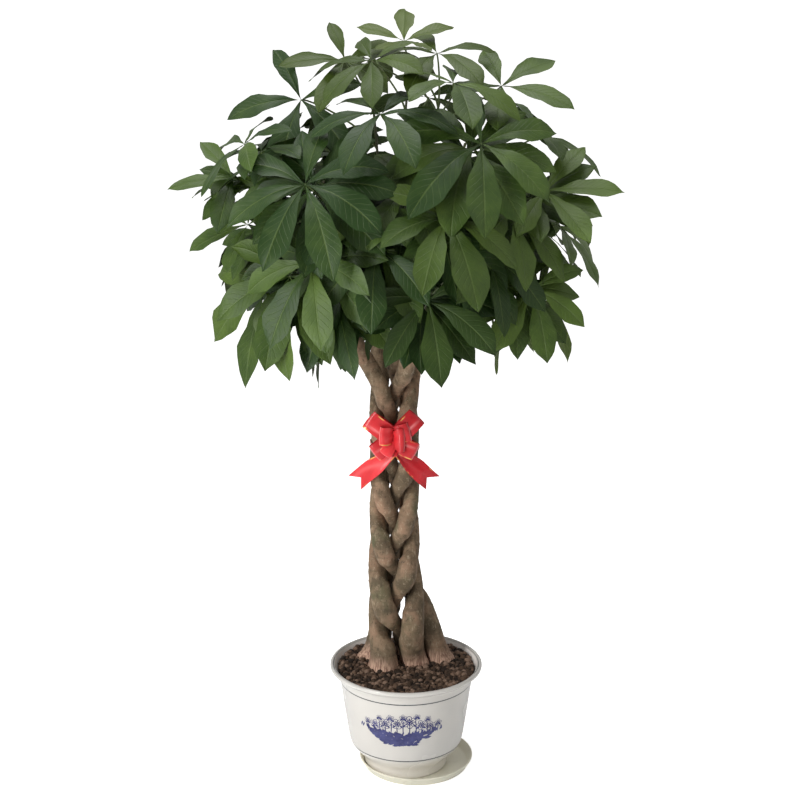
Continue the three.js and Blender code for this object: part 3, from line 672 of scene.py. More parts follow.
def makePrint():
    chance = random.Random(printSetup["seed"])
    leaf, ring = makePrintLeaf(), makePrintRing()
    middleX, middleZ = printSetup["middle"]
    reach = printSetup["reach"]
    shortest, longest, leafWidth = printSetup["leaf"]
    grassLow, grassHigh, grassWidth, grassShare = printSetup["grass"]
    grassLean, stalkLean = printSetup["grassLean"], printSetup["stalkLean"]
    grassFoot, stalkFoot = printSetup["rooted"]
    petalStart, petalLength, petalWidth = printSetup["petal"]
    strokeLength, strokeWidth = printSetup["petalStroke"]
    aside, below = printSetup["sidePlace"]
    parts = []

    def lay(x, z, angle, length, width, stamp=leaf):
        turn = Matrix.Rotation(angle, 3, "Z")
        parts.append(placedCopy(stamp, "print_part", (x, z, 0), turn, (length / 2, width / 2, 1)))

    def blossom(x, z, size, turn, petals):
        for petal in range(petals):
            angle = turn + petal * tau / petals
            startX, startZ = x + petalStart * size * cos(angle), z + petalStart * size * sin(angle)
            lay(startX, startZ, angle, size * petalLength, size * petalWidth, ring)
            lay(startX, startZ, angle, size * strokeLength, size * strokeWidth)
        eye = size * printSetup["eye"]
        for petal in range(3):
            lay(x, z, turn + petal * tau / 3, eye, eye)

    def edge(name, x):
        height, rise, power = printSetup[name]
        return middleZ + height + rise * abs((x - middleX) / reach) ** power

    x = middleX - reach
    while x < middleX + reach:
        low, high = edge("under", x), edge("upper", x)
        slope = atan2(edge("under", x + 4) - low, 4)
        z = low + 2
        while z < high:
            if x < middleX + printSetup["full"] * reach or chance.random() < printSetup["gapsLeave"]:
                facing = slope + chance.choice(printSetup["leans"]) + (pi if x < middleX else 0)
                length = chance.uniform(shortest, longest)
                lay(x - 0.5 * length * cos(facing), z + chance.uniform(-1, 1), facing, length, leafWidth)
            z += printSetup["rowStep"]
        if chance.random() < grassShare:
            upwards = pi / 2 + chance.uniform(-grassLean, grassLean)
            lay(x, high - grassFoot, upwards, chance.uniform(grassLow, grassHigh), grassWidth)
        x += printSetup["columnStep"]
    for x, z, size in printSetup["blossoms"]:
        high = edge("upper", x)
        upwards = pi / 2 + chance.uniform(-stalkLean, stalkLean)
        lay(x, high - stalkFoot, upwards, z - high + stalkFoot - 2, printSetup["stalkWidth"])
        blossom(x, z, size, chance.uniform(0, 1), 6 if size > printSetup["manyPetals"] else 5)
        for side in (-1, 1):
            outwards = pi / 2 + side * chance.uniform(*printSetup["sideLean"])
            lay(x + side * size * aside, z - size * below, outwards, *printSetup["sideLeaf"])
    remove(leaf)
    remove(ring)
    whole = joined("pot_print", parts)
    editMode()
    bpy.ops.mesh.subdivide(number_cuts=1)
    objectMode()
    shapeBy(whole, printPoint)
    return whole


blue, wire = finish("blue print", roughness=0.26, coat=0.3, coatRoughness=0.12)
base = wire.grain(60, 4).step(0.32, 0.68).over(printSetup["deep"], printSetup["light"])
thin = wire.grain(210, 3).step(0.62, 0.76)
feed(blue, colour=layered(base, (thin, 0.25, printSetup["thin"])))
potPrint = makePrint()
dress(potPrint, blue)
setAside(potPrint, "pot_plastic")
print("print:", len(potPrint.data.polygons), "faces")


# Braided stems

braid = {
    "axis": (-23, 20),
    "swing": 31,
    "depth": 34,
    "period": 507,
    "start": 0.75,  # turn of the first stem at the height of leftTurnZ
    "leftTurnZ": 318,
    "wideZ": 420,  # the plait is wider, slower and further right below this
    "slowing": 0.2,
    "lowShift": 9,
    "lowSwing": 7,
    "seam": 1.6,  # left between two stems
    "press": 3.2,  # rounding where they press on each other
    "look": [share * 23 for share in (-0.75, -0.4, 0, 0.4, 0.75)],  # where neighbours count, above and below
    "soilZ": 203,
    "lowZ": 188,
    "straightZ": 210,
    "lead": 0.35,  # a stem leaves its foot this much faster than it joins the plait
    "spreadZ": 765,
    "spreadOver": 60,  # the spread goes on past the cut tops by this much
    "topZ": 870,  # of a usual stem
    "step": 3.2,
    "sides": 44,
    "lumps": [(0.9, 1.3, 38, 9), (0.35, 5, 12, 7)],  # height, fineness round it, length, shift by stem
    "flare": 9,
    "topWear": (1.6, 3),  # narrowing of the cut top's edge, and its height
    "cutRings": [(2.2, -0.3), (3, 0.4), (5, -0.8)],  # width and rise of each ring on the cut top
    "scarZ": (232, 860),
    "scarSpacing": (11, 34),
    "scarTilt": 2.2,
    "seed": 40,
}

stems = [
    # foot on the soil, height where it joins the plait, cut top, and the way and size of its widest root
    {"foot": (-44, -6), "settleZ": 320, "top": (-102, -5, 872), "root": (-70, 5)},
    {"foot": (-56, 52), "settleZ": 400, "top": (-62, 86, 868), "root": (195, 17)},
    {"foot": (19, 20), "settleZ": 300, "top": (6, -44, 862), "root": (-100, 4)},
    {"foot": (61, 36), "settleZ": 430, "top": (34, 70, 874), "root": (-20, 9)},
    {"foot": (8, 68), "settleZ": 300, "top": (-28, 20, 850), "root": (90, 6)},
]

stemRadii = [  # height, radius
    (160, 28), (210, 27), (240, 24.5), (300, 23), (400, 20.5),
    (500, 17.6), (600, 16.8), (780, 16.2), (880, 15.5),
]

barkLook = {
    "dark": (0.112, 0.080, 0.048),
    "light": (0.26, 0.18, 0.112),
    "warm": (0.32, 0.18, 0.115),
    "moss": (0.085, 0.092, 0.044),
    "speckle": (0.37, 0.29, 0.195),
    "crack": (0.075, 0.055, 0.036),
    "pores": (0.38, 0.31, 0.23),
    "shade": (0.060, 0.056, 0.036),  # on the lower part of the stems
    "shadeZ": (0.30, 0.62),  # metres
    "rootDark": (0.23, 0.125, 0.088),
    "rootLight": (0.67, 0.44, 0.32),
    "rootZ": (0.228, 0.262),
}


def plaitAt(index, level):
    low = max(0, braid["wideZ"] - level)
    share = low / (braid["wideZ"] - braid["straightZ"])
    slowed = level + low * braid["slowing"] - braid["leftTurnZ"]
    turn = tau * (slowed / braid["period"] + index / len(stems) + braid["start"])
    swing = braid["swing"] + braid["lowSwing"] * share
    return Vector((
        braid["axis"][0] + braid["lowShift"] * share + swing * sin(turn),
        braid["axis"][1] - braid["depth"] * sin(2 * turn),
    ))


def stemMiddle(index, height):
    # a flat figure of eight, led to the foot below and to the cut top above
    foot, settleZ, top = Vector(stems[index]["foot"]), stems[index]["settleZ"], stems[index]["top"]
    z = max(height, braid["straightZ"])
    climbed = clamped((z - braid["straightZ"]) / (settleZ - braid["straightZ"]))
    plaited = climbed * (1 + braid["lead"] * (1 - climbed))
    spreadEnd = top[2] + braid["spreadOver"]
    spread = eased(braid["spreadZ"], spreadEnd, z) / eased(braid["spreadZ"], spreadEnd, top[2])
    away = Vector(top[:2]) - plaitAt(index, top[2])
    return foot * (1 - plaited) + plaitAt(index, z) * plaited + away * spread


def neighbourPlanes(index, height):
    # way to each neighbour and half the distance to it, at a few heights nearby
    planes = []
    for off in braid["look"]:
        level = height + off
        here = stemMiddle(index, level)
        for other in range(len(stems)):
            if other != index:
                way = stemMiddle(other, level) - here
                planes.append((atan2(way.y, way.x), way.length / 2 - braid["seam"] / 2))
    return planes


def softLeast(one, two, width):
    share = clamped(0.5 + 0.5 * (two - one) / width)
    return mixed(two, one, share) - width * share * (1 - share)


def scarRows(index):
    # heights of the leaf scars that ring a stem, with their tilt and strength
    chance = random.Random(braid["seed"] + index)
    z, end = braid["scarZ"]
    rows = []
    while z < end:
        rows.append((z, chance.uniform(0, tau), chance.uniform(0.25, 1)))
        z += chance.uniform(*braid["scarSpacing"])
    return rows


def barkRelief(index, z, angle, scars):
    # lumps, scar rings and, at the foot, the fibrous flare
    x, y = cos(angle), sin(angle)
    relief = 0
    for high, fine, tall, shift in braid["lumps"]:
        relief += high * noise.noise(Vector((x * fine, y * fine, z / tall + index * shift)))
    for scarZ, turn, strength in scars:
        off = z - scarZ - braid["scarTilt"] * cos(angle - turn)
        if abs(off) < 9:
            relief += strength * (0.75 * hill(off, 1.9) - 0.45 * hill(off - 4, 2.4))
    low = max(z - braid["soilZ"], 0)
    lobes = 0.5 + 0.9 * noise.noise(Vector((x * 1.1, y * 1.1, index * 3.7)))
    fibres = 2.2 * noise.noise(Vector((x * 9, y * 9, z / 60 + index)))
    relief += exp(-low / 17) * (braid["flare"] * max(lobes, 0.1) + fibres)
    way, size = stems[index]["root"]
    return relief + size * max(0, cos(angle - radians(way))) ** 5 * exp(-low / 11)


def makeStemBlank():
    # a ring of points, extruded level by level; each step of one millimetre stands for a level
    blank = begin("stem_blank", bpy.ops.mesh.primitive_circle_add, vertices=braid["sides"], radius=0.02)
    editMode()
    for _ in range(round((braid["topZ"] - braid["lowZ"]) / braid["step"])):
        extrudeUp(mm)
    objectMode()
    return blank


def shapeStem(blank, index):
    piece = copyOf(blank, f"stem_bark_{index + 1}")
    topZ = stems[index]["top"][2]
    wear, wearHeight = braid["topWear"]
    scars = scarRows(index)
    levels = {}
    for point in piece.data.vertices:
        levels.setdefault(round(point.co.z / mm), []).append(point)
    for level, ring in levels.items():
        z = mixed(braid["lowZ"], topZ, level / (len(levels) - 1))
        height = max(z, braid["straightZ"])
        middle = stemMiddle(index, height)
        above = stemMiddle(index, height + 1) - middle
        lean, stretch = atan2(above.y, above.x), sqrt(1 + above.length_squared)
        radius = between(stemRadii, height) - wear * (1 - clamped((topZ - z) / wearHeight)) ** 2
        planes = neighbourPlanes(index, height)
        for point in ring:
            angle = atan2(point.co.y, point.co.x)
            reach = radius / hypot(cos(angle - lean) / stretch, sin(angle - lean))
            reach += barkRelief(index, z, angle, scars)
            for facing, half in planes:
                towards = cos(angle - facing)
                if towards > 0.05 and half / towards < reach + braid["press"]:
                    reach = softLeast(reach, half / towards, braid["press"])
            spot = Vector((middle.x + reach * cos(angle), middle.y + reach * sin(angle), z))
            point.co = spot * mm
    piece.data.update()
    return piece


def capStem(piece):
    # closes both ends; the cut top gets a shallow ring and a sunken middle
    focus(piece)
    editMode()
    bpy.ops.mesh.region_to_loop()
    bpy.ops.mesh.edge_face_add()
    top = max(point.co.z for point in bmesh.from_edit_mesh(piece.data).verts)
    pick(piece, edges=lambda edge: edge.is_boundary)
    bpy.ops.mesh.fill_holes(sides=0)
    pick(piece, faces=lambda face: len(face.verts) > 10 and face.calc_center_median().z > top - 4 * mm)
    for width, rise in braid["cutRings"]:
        bpy.ops.mesh.inset(thickness=width * mm, depth=rise * mm)
    faceOutwards()
    objectMode()


bark, wire = finish("bark", specular=0.25)
z = wire.axis("Object", 2)
patches = wire.grain(22, 4, 0.6)
rings = wire.grain(1, 3, 0.6, (28, 28, 260))
fibre = wire.grain(1, 3, 0.6, (330, 330, 26))
fine = wire.grain(320, 3, 0.6)
mottle = wire.grain(130, 5, 0.75, (1, 1, 0.5))
root = 1 - (z + patches * 0.04).step(*barkLook["rootZ"])
base = layered(
    patches.step(0.36, 0.66).over(barkLook["dark"], barkLook["light"]),
    (wire.grain(11, 3, 0.6).step(0.48, 0.66), 0.6, barkLook["warm"]),
    (wire.grain(16, 3, 0.55).step(0.54, 0.70), 0.7, barkLook["moss"]),
    (mottle.step(0.53, 0.66), 0.65, barkLook["speckle"]),
    (1 - mottle.step(0.33, 0.46), 0.85, barkLook["crack"]),
    (1 - rings.step(0.30, 0.44), 0.45, barkLook["crack"]),
    (wire.grain(190, 2, stretch=(1, 1, 2.4)).step(0.66, 0.74), 0.55, barkLook["pores"]),
    (1 - z.step(*barkLook["shadeZ"]), 0.22, barkLook["shade"]),
    (root, 0.9, fibre.step(0.34, 0.64).over(barkLook["rootDark"], barkLook["rootLight"])),
)
relief = rings * 0.3 + mottle * 0.7 + fine * 0.35 + patches * 0.6 + fibre * root * 1.5
feed(bark, colour=base, roughness=0.66 + fine * 0.24, normal=wire.height(0.55, 0.0016, relief))

stemBlank = makeStemBlank()
for index in range(len(stems)):
    stem = shapeStem(stemBlank, index)
    capStem(stem)
    dress(stem, bark)
    smoothShade(stem, 50)
    setAside(stem, "bark", f"trunk_{index + 1}")
remove(stemBlank)
print("five braided stems")


# Soil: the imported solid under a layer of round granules

soilSetup = {
    "radius": 133,
    "wall": 136.5,  # of the pot, at the soil's height
    "topZ": 203,
    "spacing": 7.8,
    "layers": [(-0.5, 1.0), (2.6, 0.9)],  # height above the soil, share of the places filled
    "sizes": (0.6, 0.75, 0.85, 0.95, 1.05, 1.3),
    "form": [(0.8, 1.2), (0.8, 1.15), (0.65, 1)],  # least and most of the three sides
    "ball": 0.9,  # 0 is a cube
    "reach": 0.69,  # radius of a granule of size 1
    "scatter": 2.6,
    "unevenRise": (-1, 1.6),
    "stemRoom": 23,  # left free round the middle of each stem's foot
    "seed": 8,
    "dark": (0.018, 0.011, 0.007),
    "light": (0.165, 0.098, 0.061),
    "glint": (0.25, 0.17, 0.125),
    "bedDark": (0.010, 0.008, 0.006),
    "bedLight": (0.045, 0.030, 0.020),
}


def makeGrain():
    grain = begin("grain", bpy.ops.mesh.primitive_cube_add, size=1)
    editMode()
    bpy.ops.mesh.subdivide(number_cuts=1)
    bpy.ops.transform.tosphere(value=soilSetup["ball"])
    objectMode()
    return grain


def layGrain(blank, spot, size, lift, chance):
    turn = Matrix.Rotation(chance.uniform(0, 3), 3, Vector((1, chance.random(), 0.4)).normalized())
    sizes = [chance.uniform(*share) * size for share in soilSetup["form"]]
    place = Vector((*spot, soilSetup["topZ"] + lift + chance.uniform(*soilSetup["unevenRise"]))) * mm
    part = placedCopy(blank, "grain_part", place, turn, sizes)
    paint(part, tone=chance.random())
    return part


def makeSoil():
    chance = random.Random(soilSetup["seed"])
    blank = makeGrain()
    parts = []
    feet = [Vector(stem["foot"]) for stem in stems]
    spacing, scatter = soilSetup["spacing"], soilSetup["scatter"]
    rows = round(soilSetup["radius"] / spacing)
    for layer, (lift, share) in enumerate(soilSetup["layers"]):
        for ring in range(rows + 1):
            radius = soilSetup["radius"] * (ring + 0.12 * layer) / (rows + 0.12 * layer)
            count = max(1, round(tau * radius / spacing))
            for k in range(count):
                if chance.random() > share:
                    continue
                angle = (k + 0.5 * layer + chance.uniform(-0.3, 0.3)) / count * tau
                size = spacing * chance.choice(soilSetup["sizes"])
                furthest = soilSetup["wall"] - 1.2 * soilSetup["reach"] * size
                reach = min(radius + chance.uniform(-scatter, scatter), furthest)
                spot = Vector((reach * cos(angle), reach * sin(angle)))
                if all((spot - foot).length >= soilSetup["stemRoom"] for foot in feet):
                    parts.append(layGrain(blank, spot, size * mm, lift, chance))
    remove(blank)
    return joined("soil_granules", parts)


earth, wire = finish("granules", specular=0.25)
tone = wire.value("tone")
fine = wire.grain(420, 3, 0.6)
base = (tone ** 1.5).over(soilSetup["dark"], soilSetup["light"])
base = layered(base, ((tone + fine).step(1.18, 1.4), 0.6, soilSetup["glint"]))
feed(earth, colour=base, roughness=0.6 + fine * 0.35, normal=wire.height(0.6, 0.0012, fine))
granules = makeSoil()
dress(granules, earth)
smoothShade(granules)
setAside(granules, "substrate")

bed, wire = finish("soil bed", roughness=0.9, specular=0.2)
crumbs = wire.grain(260, 4, 0.6)
colour = crumbs.over(soilSetup["bedDark"], soilSetup["bedLight"])
feed(bed, colour=colour, normal=wire.height(0.8, 0.002, crumbs))
cadNodes["soil"].data.materials.clear()
dress(cadNodes["soil"], bed)
print("soil:", len(granules.data.polygons), "faces")


# Leaves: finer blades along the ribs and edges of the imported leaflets

leafSetup = {
    "outline": [  # place along the leaflet, share of its half width
        (0, 0), (0.05, 0.06), (0.12, 0.15), (0.21, 0.33), (0.31, 0.55), (0.41, 0.76), (0.51, 0.91),
        (0.61, 0.99), (0.70, 0.97), (0.78, 0.85), (0.86, 0.62), (0.92, 0.36), (0.965, 0.15), (1, 0),
    ],
    "slim": 0.8,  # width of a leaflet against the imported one
    "widths": (0.9, 1.1),
    "thickness": 0.9,
    "veins": (12, 2.3),  # on each side, and how far they slant forward
    "sunk": 1.2,  # where the leaflets meet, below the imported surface
    "wave": 0.08,  # of the half width
    "waves": (1.6, 2.8),  # fewest and most along a leaflet
    "uneven": 0.09,  # one half of a leaflet is wider than the other
    "cup": (0.02, 0.20),  # rise of the edges, least and most
    "roll": 0.22,  # a leaflet turns this much round its rib, in radians
    "twist": 0.3,
    "toneScatter": 0.2,
    "axis": (-5, 10),  # middle of the crown, from above
    "ribPair": (1.5, 2.2),  # distance of the two rib points of a packed section
    "narrowest": 4,  # width of a packed section
    "behind": [  # leaves behind each packed one: way inwards, turn in degrees, size, share that get one
        (34, 31, 0.95, 1.0),
        (62, -22, 0.9, 0.8),
        (98, 12, 0.85, 0.7),
    ],
    "behindTurns": (0.85, 1.15),  # least and most of those turns
    "behindTilt": 0.3,
    "airyZ": 1240,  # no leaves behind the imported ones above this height
    "lowest": 835,  # and none of their leaflets hang lower than this
    "outside": (0.14, 0.36),  # painted light: leaves are painted lighter between these distances from the axis, in metres
    "right": (0.05, 0.20),  # and painted lighter still to the right
    "lower": (0.98, 0.86),  # and painted lighter from the first of these heights down to the second
    "youngZ": (1.30, 1.43),
    "seed": 21,
}

leafLooks = {
    "leaf upper side": {
        "deep": (0.013, 0.038, 0.004),
        "light": (0.078, 0.130, 0.018),
        "young": (0.090, 0.122, 0.014),
        "rib": (0.085, 0.130, 0.030),
        "roughness": 0.40,
        "specular": 0.32,
        "relief": (-0.6, -1.0, 7),  # of the veins, the rib and the halves between rib and edge
    },
    "leaf underside": {
        "deep": (0.034, 0.062, 0.014),
        "light": (0.080, 0.118, 0.028),
        "young": (0.12, 0.15, 0.03),
        "rib": (0.13, 0.17, 0.06),
        "roughness": 0.60,
        "specular": 0.2,
        "relief": (0.6, 1.4, 0),
    },
}


def makeLeafBlank():
    # one leaflet, 1 long and 2 wide; both sides share their edge, and each end is one point
    places = [place for place, _ in leafSetup["outline"]]
    blank = begin("leaflet", bpy.ops.mesh.primitive_grid_add, size=2, calc_uvs=True,
                  x_subdivisions=len(places) - 1, y_subdivisions=2)
    rows = sorted({round(point.co.x, 4) for point in blank.data.vertices})
    for point in blank.data.vertices:
        point.co.x = places[rows.index(round(point.co.x, 4))]
    uv = blank.data.uv_layers[0].data
    for loop in blank.data.loops:
        point = blank.data.vertices[loop.vertex_index].co
        uv[loop.index].uv = (point.x, point.y * 0.5 + 0.5)

    def atEnd(vert):
        return not 0.01 < vert.co.x < 0.99

    editMode()
    bpy.ops.mesh.duplicate()
    bpy.ops.mesh.flip_normals()
    move(0, 0, -2)
    selectAll()
    move(0, 0, 1)
    pick(blank, verts=lambda vert: abs(vert.co.y) > 0.99 or atEnd(vert))
    scaleFromAxis(1, 1, 0)
    pick(blank, verts=atEnd)
    scaleFromAxis(1, 0, 1)
    selectAll()
    bpy.ops.mesh.remove_doubles(threshold=0.0001)
    objectMode()
    for face in blank.data.polygons:
        face.material_index = 0 if face.center.z > 0 else 1
    return blank


def shared(*points):
    # the neighbours that all of them have
    sets = [{edge.other_vert(point) for edge in point.link_edges} for point in points]
    return set.intersection(*sets) - set(points)


def readSections(tip):
    # from a packed tip back to the middle of its leaf: rib, half width and normal of each section
    sections = []
    around = [edge.other_vert(tip) for edge in tip.link_edges]
    if len(around) != 4:
        return None, sections
    nearest, furthest = (value * mm for value in leafSetup["ribPair"])
    pairs = [(one, two) for i, one in enumerate(around) for two in around[i + 1:]]
    top, bottom = min(pairs, key=lambda pair: (pair[0].co - pair[1].co).length)
    left, right = [point for point in around if point not in (top, bottom)]
    width = (left.co - right.co).length
    if not nearest < (top.co - bottom.co).length < furthest or width < leafSetup["narrowest"] * mm:
        return None, sections
    centre = (left.co + right.co) / 2
    if (bottom.co - centre).length < (top.co - centre).length:
        top, bottom = bottom, top
    sections.append((tip.co.copy(), Vector(), (top.co - bottom.co).normalized()))
    beyond = {tip}
    while len(sections) < 5:
        rib, half = (top.co + bottom.co) / 2, (right.co - left.co) / 2
        sections.insert(0, (rib, half, (top.co - bottom.co).normalized()))
        above = shared(left, top, right) - beyond
        below = shared(left, bottom, right) - beyond
        if len(above) != 1:
            break
        nextTop = above.pop()
        nextBottom = below.pop() if len(below) == 1 else None
        if nextBottom is None or not nearest < (nextTop.co - nextBottom.co).length < furthest:
            return nextTop, sections
        nextLeft = shared(left, nextTop, nextBottom) - beyond
        nextRight = shared(right, nextTop, nextBottom) - beyond
        beyond = {left, right, top, bottom}
        if not nextLeft or not nextRight:
            break
        left, right = nextLeft.pop(), nextRight.pop()
        top, bottom = nextTop, nextBottom
    return None, sections


def readLeaves(node):
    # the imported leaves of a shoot, each as a list of its leaflets
    skin = bmesh.new()
    skin.from_mesh(node.data)
    bmesh.ops.remove_doubles(skin, verts=skin.verts, dist=1e-5)
    leaves = {}
    for tip in skin.verts:
        hub, sections = readSections(tip)
        if hub and len(sections) > 2:
            leaves.setdefault(hub.index, []).append({"hub": hub.co.copy(), "sections": sections})
    skin.free()
    return [leaves[key] for key in sorted(leaves)]


def bendLeaflet(blank, leaflet, chance):
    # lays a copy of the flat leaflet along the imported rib
    sections = leaflet["sections"]
    sideHint, firstNormal = sections[0][1].normalized(), sections[0][2]
    points = [leaflet["hub"] - firstNormal * leafSetup["sunk"] * mm] + [rib for rib, _, _ in sections]
    normals = [leaflet["leafNormal"]] + [normal for _, _, normal in sections]
    way = distances(points)
    places = [length / way[-1] for length in way]
    width = max(half.length for _, half, _ in sections) * leafSetup["slim"]
    width *= chance.uniform(*leafSetup["widths"])
    waves = chance.uniform(*leafSetup["waves"])
    phase = chance.uniform(0, tau)
    cup = chance.uniform(*leafSetup["cup"])
    roll = chance.uniform(-leafSetup["roll"], leafSetup["roll"])
    twist = chance.uniform(-leafSetup["twist"], leafSetup["twist"])
    uneven = chance.uniform(-leafSetup["uneven"], leafSetup["uneven"])
    part = copyOf(blank, "leaflet_part")
    for point in part.data.vertices:
        u, v, side = point.co
        edge = abs(v)
        rib = throughPoints(places, points, u)
        along = heading(lambda t: throughPoints(places, points, t), u)
        normal = throughPoints(places, normals, u)
        normal = (normal - along * normal.dot(along)).normalized()
        across = along.cross(normal)
        if across.dot(sideHint) < 0:
            across = -across
        turned = (roll + twist * (u - 0.5)) * sin(pi * min(u * 1.6, 1) / 2)
        turnCos, turnSin = cos(turned), sin(turned)
        across, normal = across * turnCos + normal * turnSin, normal * turnCos - across * turnSin
        sway = 1 + uneven * v + 0.06 * sin(tau * 3.3 * u + phase + 2 * v)
        half = width * between(leafSetup["outline"], u) * sway
        ripple = leafSetup["wave"] * width * sin(tau * waves * u + phase + (1.9 if v > 0 else 0))
        lift = (half * cup + ripple) * edge + side * leafSetup["thickness"] / 2 * mm
        point.co = rib + across * half * v + normal * lift
    part.data.update()
    return part


def leafBehind(group, axis, inwards, turn, size, chance):
    # the leaflets of a leaf, moved towards the crown's axis, turned round the leaf's middle and made smaller
    hub, normal = group[0]["hub"], group[0]["leafNormal"]
    way = Vector((axis.x - hub.x, axis.y - hub.y, 0)).normalized() * 0.8 - normal * 0.6
    most = leafSetup["behindTilt"]
    tilt = Matrix.Rotation(chance.uniform(-most, most), 3, way.cross(normal).normalized())
    spin = tilt @ Matrix.Rotation(radians(turn * chance.uniform(*leafSetup["behindTurns"])), 3, normal)
    place = hub + way.normalized() * inwards * mm
    twins = []
    for leaflet in group:
        sections = [
            (place + spin @ (rib - hub) * size, spin @ half * size, spin @ up)
            for rib, half, up in leaflet["sections"]
        ]
        if sections[-1][0].z > leafSetup["lowest"] * mm:
            twins.append({"hub": place.copy(), "sections": sections, "leafNormal": spin @ normal})
    return twins


def leavesOf(node, axis, chance):
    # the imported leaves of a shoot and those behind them, each with its depth in the crown
    groups = []
    for group in readLeaves(node):
        normal = sum((leaflet["sections"][0][2] for leaflet in group), Vector()).normalized()
        for leaflet in group:
            leaflet["leafNormal"] = normal
        groups.append((group, 0))
        airy = group[0]["hub"].z > leafSetup["airyZ"] * mm
        for depth, (inwards, turn, size, share) in enumerate(leafSetup["behind"], 1):
            twins = leafBehind(group, axis, inwards, turn, size, chance)
            if twins and chance.random() < share and not airy:
                groups.append((twins, depth))
    return groups


def leafTonesAndPaintedLight(hub, depth, axis, chance):
    # painted light and shade: leaves are painted lighter at the outside, to the right and low in the crown,
    # and the leaves behind darker the deeper they stand; fresh leaves at the top
    aside = hub.x - axis.x
    outer = max(eased(*leafSetup["outside"], abs(aside)), 0.6 * eased(*leafSetup["lower"], hub.z))
    outer += 0.65 * eased(*leafSetup["right"], aside)
    # painted shade: the random tone shrinks for leaves deeper in the crown, and the painted light is added
    tone = chance.uniform(0, 0.52) * (1 - 0.2 * depth) + 0.45 * outer
    if depth:
        return tone, 0.0
    return tone, clamped(eased(*leafSetup["youngZ"], hub.z) * 0.7 + chance.choice((0, 0, 0, 0.15)))


# Green shoots and leaf stalks

shootTips = [  # of each stem
    [(-190, -120, 1010), (-250, 20, 1060), (-150, -30, 1160)],
    [(-170, 180, 1040), (-50, 235, 1040), (-90, 120, 1210)],
    [(-70, -190, 1060), (70, -200, 1040), (10, -110, 1200), (175, -120, 1090)],
    [(190, 130, 1050), (80, 225, 1050), (110, 90, 1220), (235, 15, 1060)],
    [(-60, -10, 1290), (60, 5, 1300), (0, 70, 1300)],
]

shootSetup = {
    "ring": 8.4,  # radius of the seats on a cut top
    "spacing": 1.1,  # radians
    "gap": 0.3,
    "bend": (0.3, 0.55),  # shares of the way outwards and up that its arch bends at
    "shoot": (3.4, 2.3),  # radius at the root and at the tip
    "stalk": (2.1, 1.5),
    "below": 95,  # a stalk leaves its shoot this far below its leaf
    "under": 1.5,  # and ends this far under the leaf's middle
    "sides": 7,
    "segments": 12,
    "old": (0.085, 0.095, 0.045),
    "fresh": (0.115, 0.165, 0.055),
    "streak": (0.15, 0.125, 0.075),
}


def makeStalkBlank():
    blank = begin("stalk", bpy.ops.mesh.primitive_circle_add, vertices=shootSetup["sides"], radius=1,
                  fill_type="NGON")
    editMode()
    for _ in range(shootSetup["segments"]):
        extrudeUp(1 / shootSetup["segments"])
    faceOutwards()
    objectMode()
    return blank


def bendStalk(blank, points, radii):
    # lays a copy of the straight stalk along an arch
    part = copyOf(blank, "stalk_part")
    start = (arch(points, 0.02) - points[0]).normalized()
    hint = Vector((1, 0.3, 0.2))
    hint = (hint - start * hint.dot(start)).normalized()
    for point in part.data.vertices:
        x, y, t = point.co
        along = heading(lambda t: arch(points, t), t)
        across = (hint - along * hint.dot(along)).normalized()
        radius = mixed(*radii, t) * mm
        point.co = arch(points, t) + (across * x + along.cross(across) * y) * radius
    part.data.update()
    return part


def shootCurves():
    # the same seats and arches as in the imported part
    curves = []
    ring = shootSetup["ring"]
    outwards, upwards = shootSetup["bend"]
    for stem, tips in zip(stems, shootTips):
        top = Vector(stem["top"])
        ways = [(Vector(tip) - top).to_2d().normalized() for tip in tips]
        total = sum(ways, Vector((0, 0)))
        back = atan2(total.y, total.x) - pi
        turns = sorted(((atan2(way.y, way.x) - back) % tau, tip) for way, tip in zip(ways, tips))
        seats = [turns[0][0]]
        for turn, _ in turns[1:]:
            seats.append(max(turn, seats[-1] + shootSetup["spacing"]))
        drift = sum(seat - turn for seat, (turn, _) in zip(seats, turns)) / len(seats)
        for seat, (_, tip) in zip(seats, turns):
            angle = back + seat - drift
            root = top + Vector((ring * cos(angle), ring * sin(angle), shootSetup["gap"]))
            bend = root.lerp(Vector(tip), outwards)
            bend.z = mixed(root.z, tip[2], upwards)
            curves.append([root * mm, bend * mm, Vector(tip) * mm])
    return curves


def ownShoot(node, curves):
    # the shoot whose root is nearest to the node
    def distance(curve):
        return min((vertex.co - curve[0]).length_squared for vertex in node.data.vertices)
    return min(curves, key=distance)


def stalkCurve(shoot, hub, normal, forward):
    # from the shoot outwards, and from below and behind to the middle of the leaf
    root, _, tip = shoot
    below = shootSetup["below"] * mm
    share = clamped((hub.z - below - root.z) / (tip.z - root.z), 0.5, 0.97)
    start = arch(shoot, share)
    tangent = (arch(shoot, share + 0.01) - arch(shoot, share - 0.01)).normalized()
    reach = (hub - start).length
    outset = tangent * 0.5 + (hub - start).normalized() * 0.5
    arrival = (normal * 0.7 + forward * 0.5).normalized()
    return [start, start + outset * reach * 0.35, hub - arrival * reach * 0.3, hub]


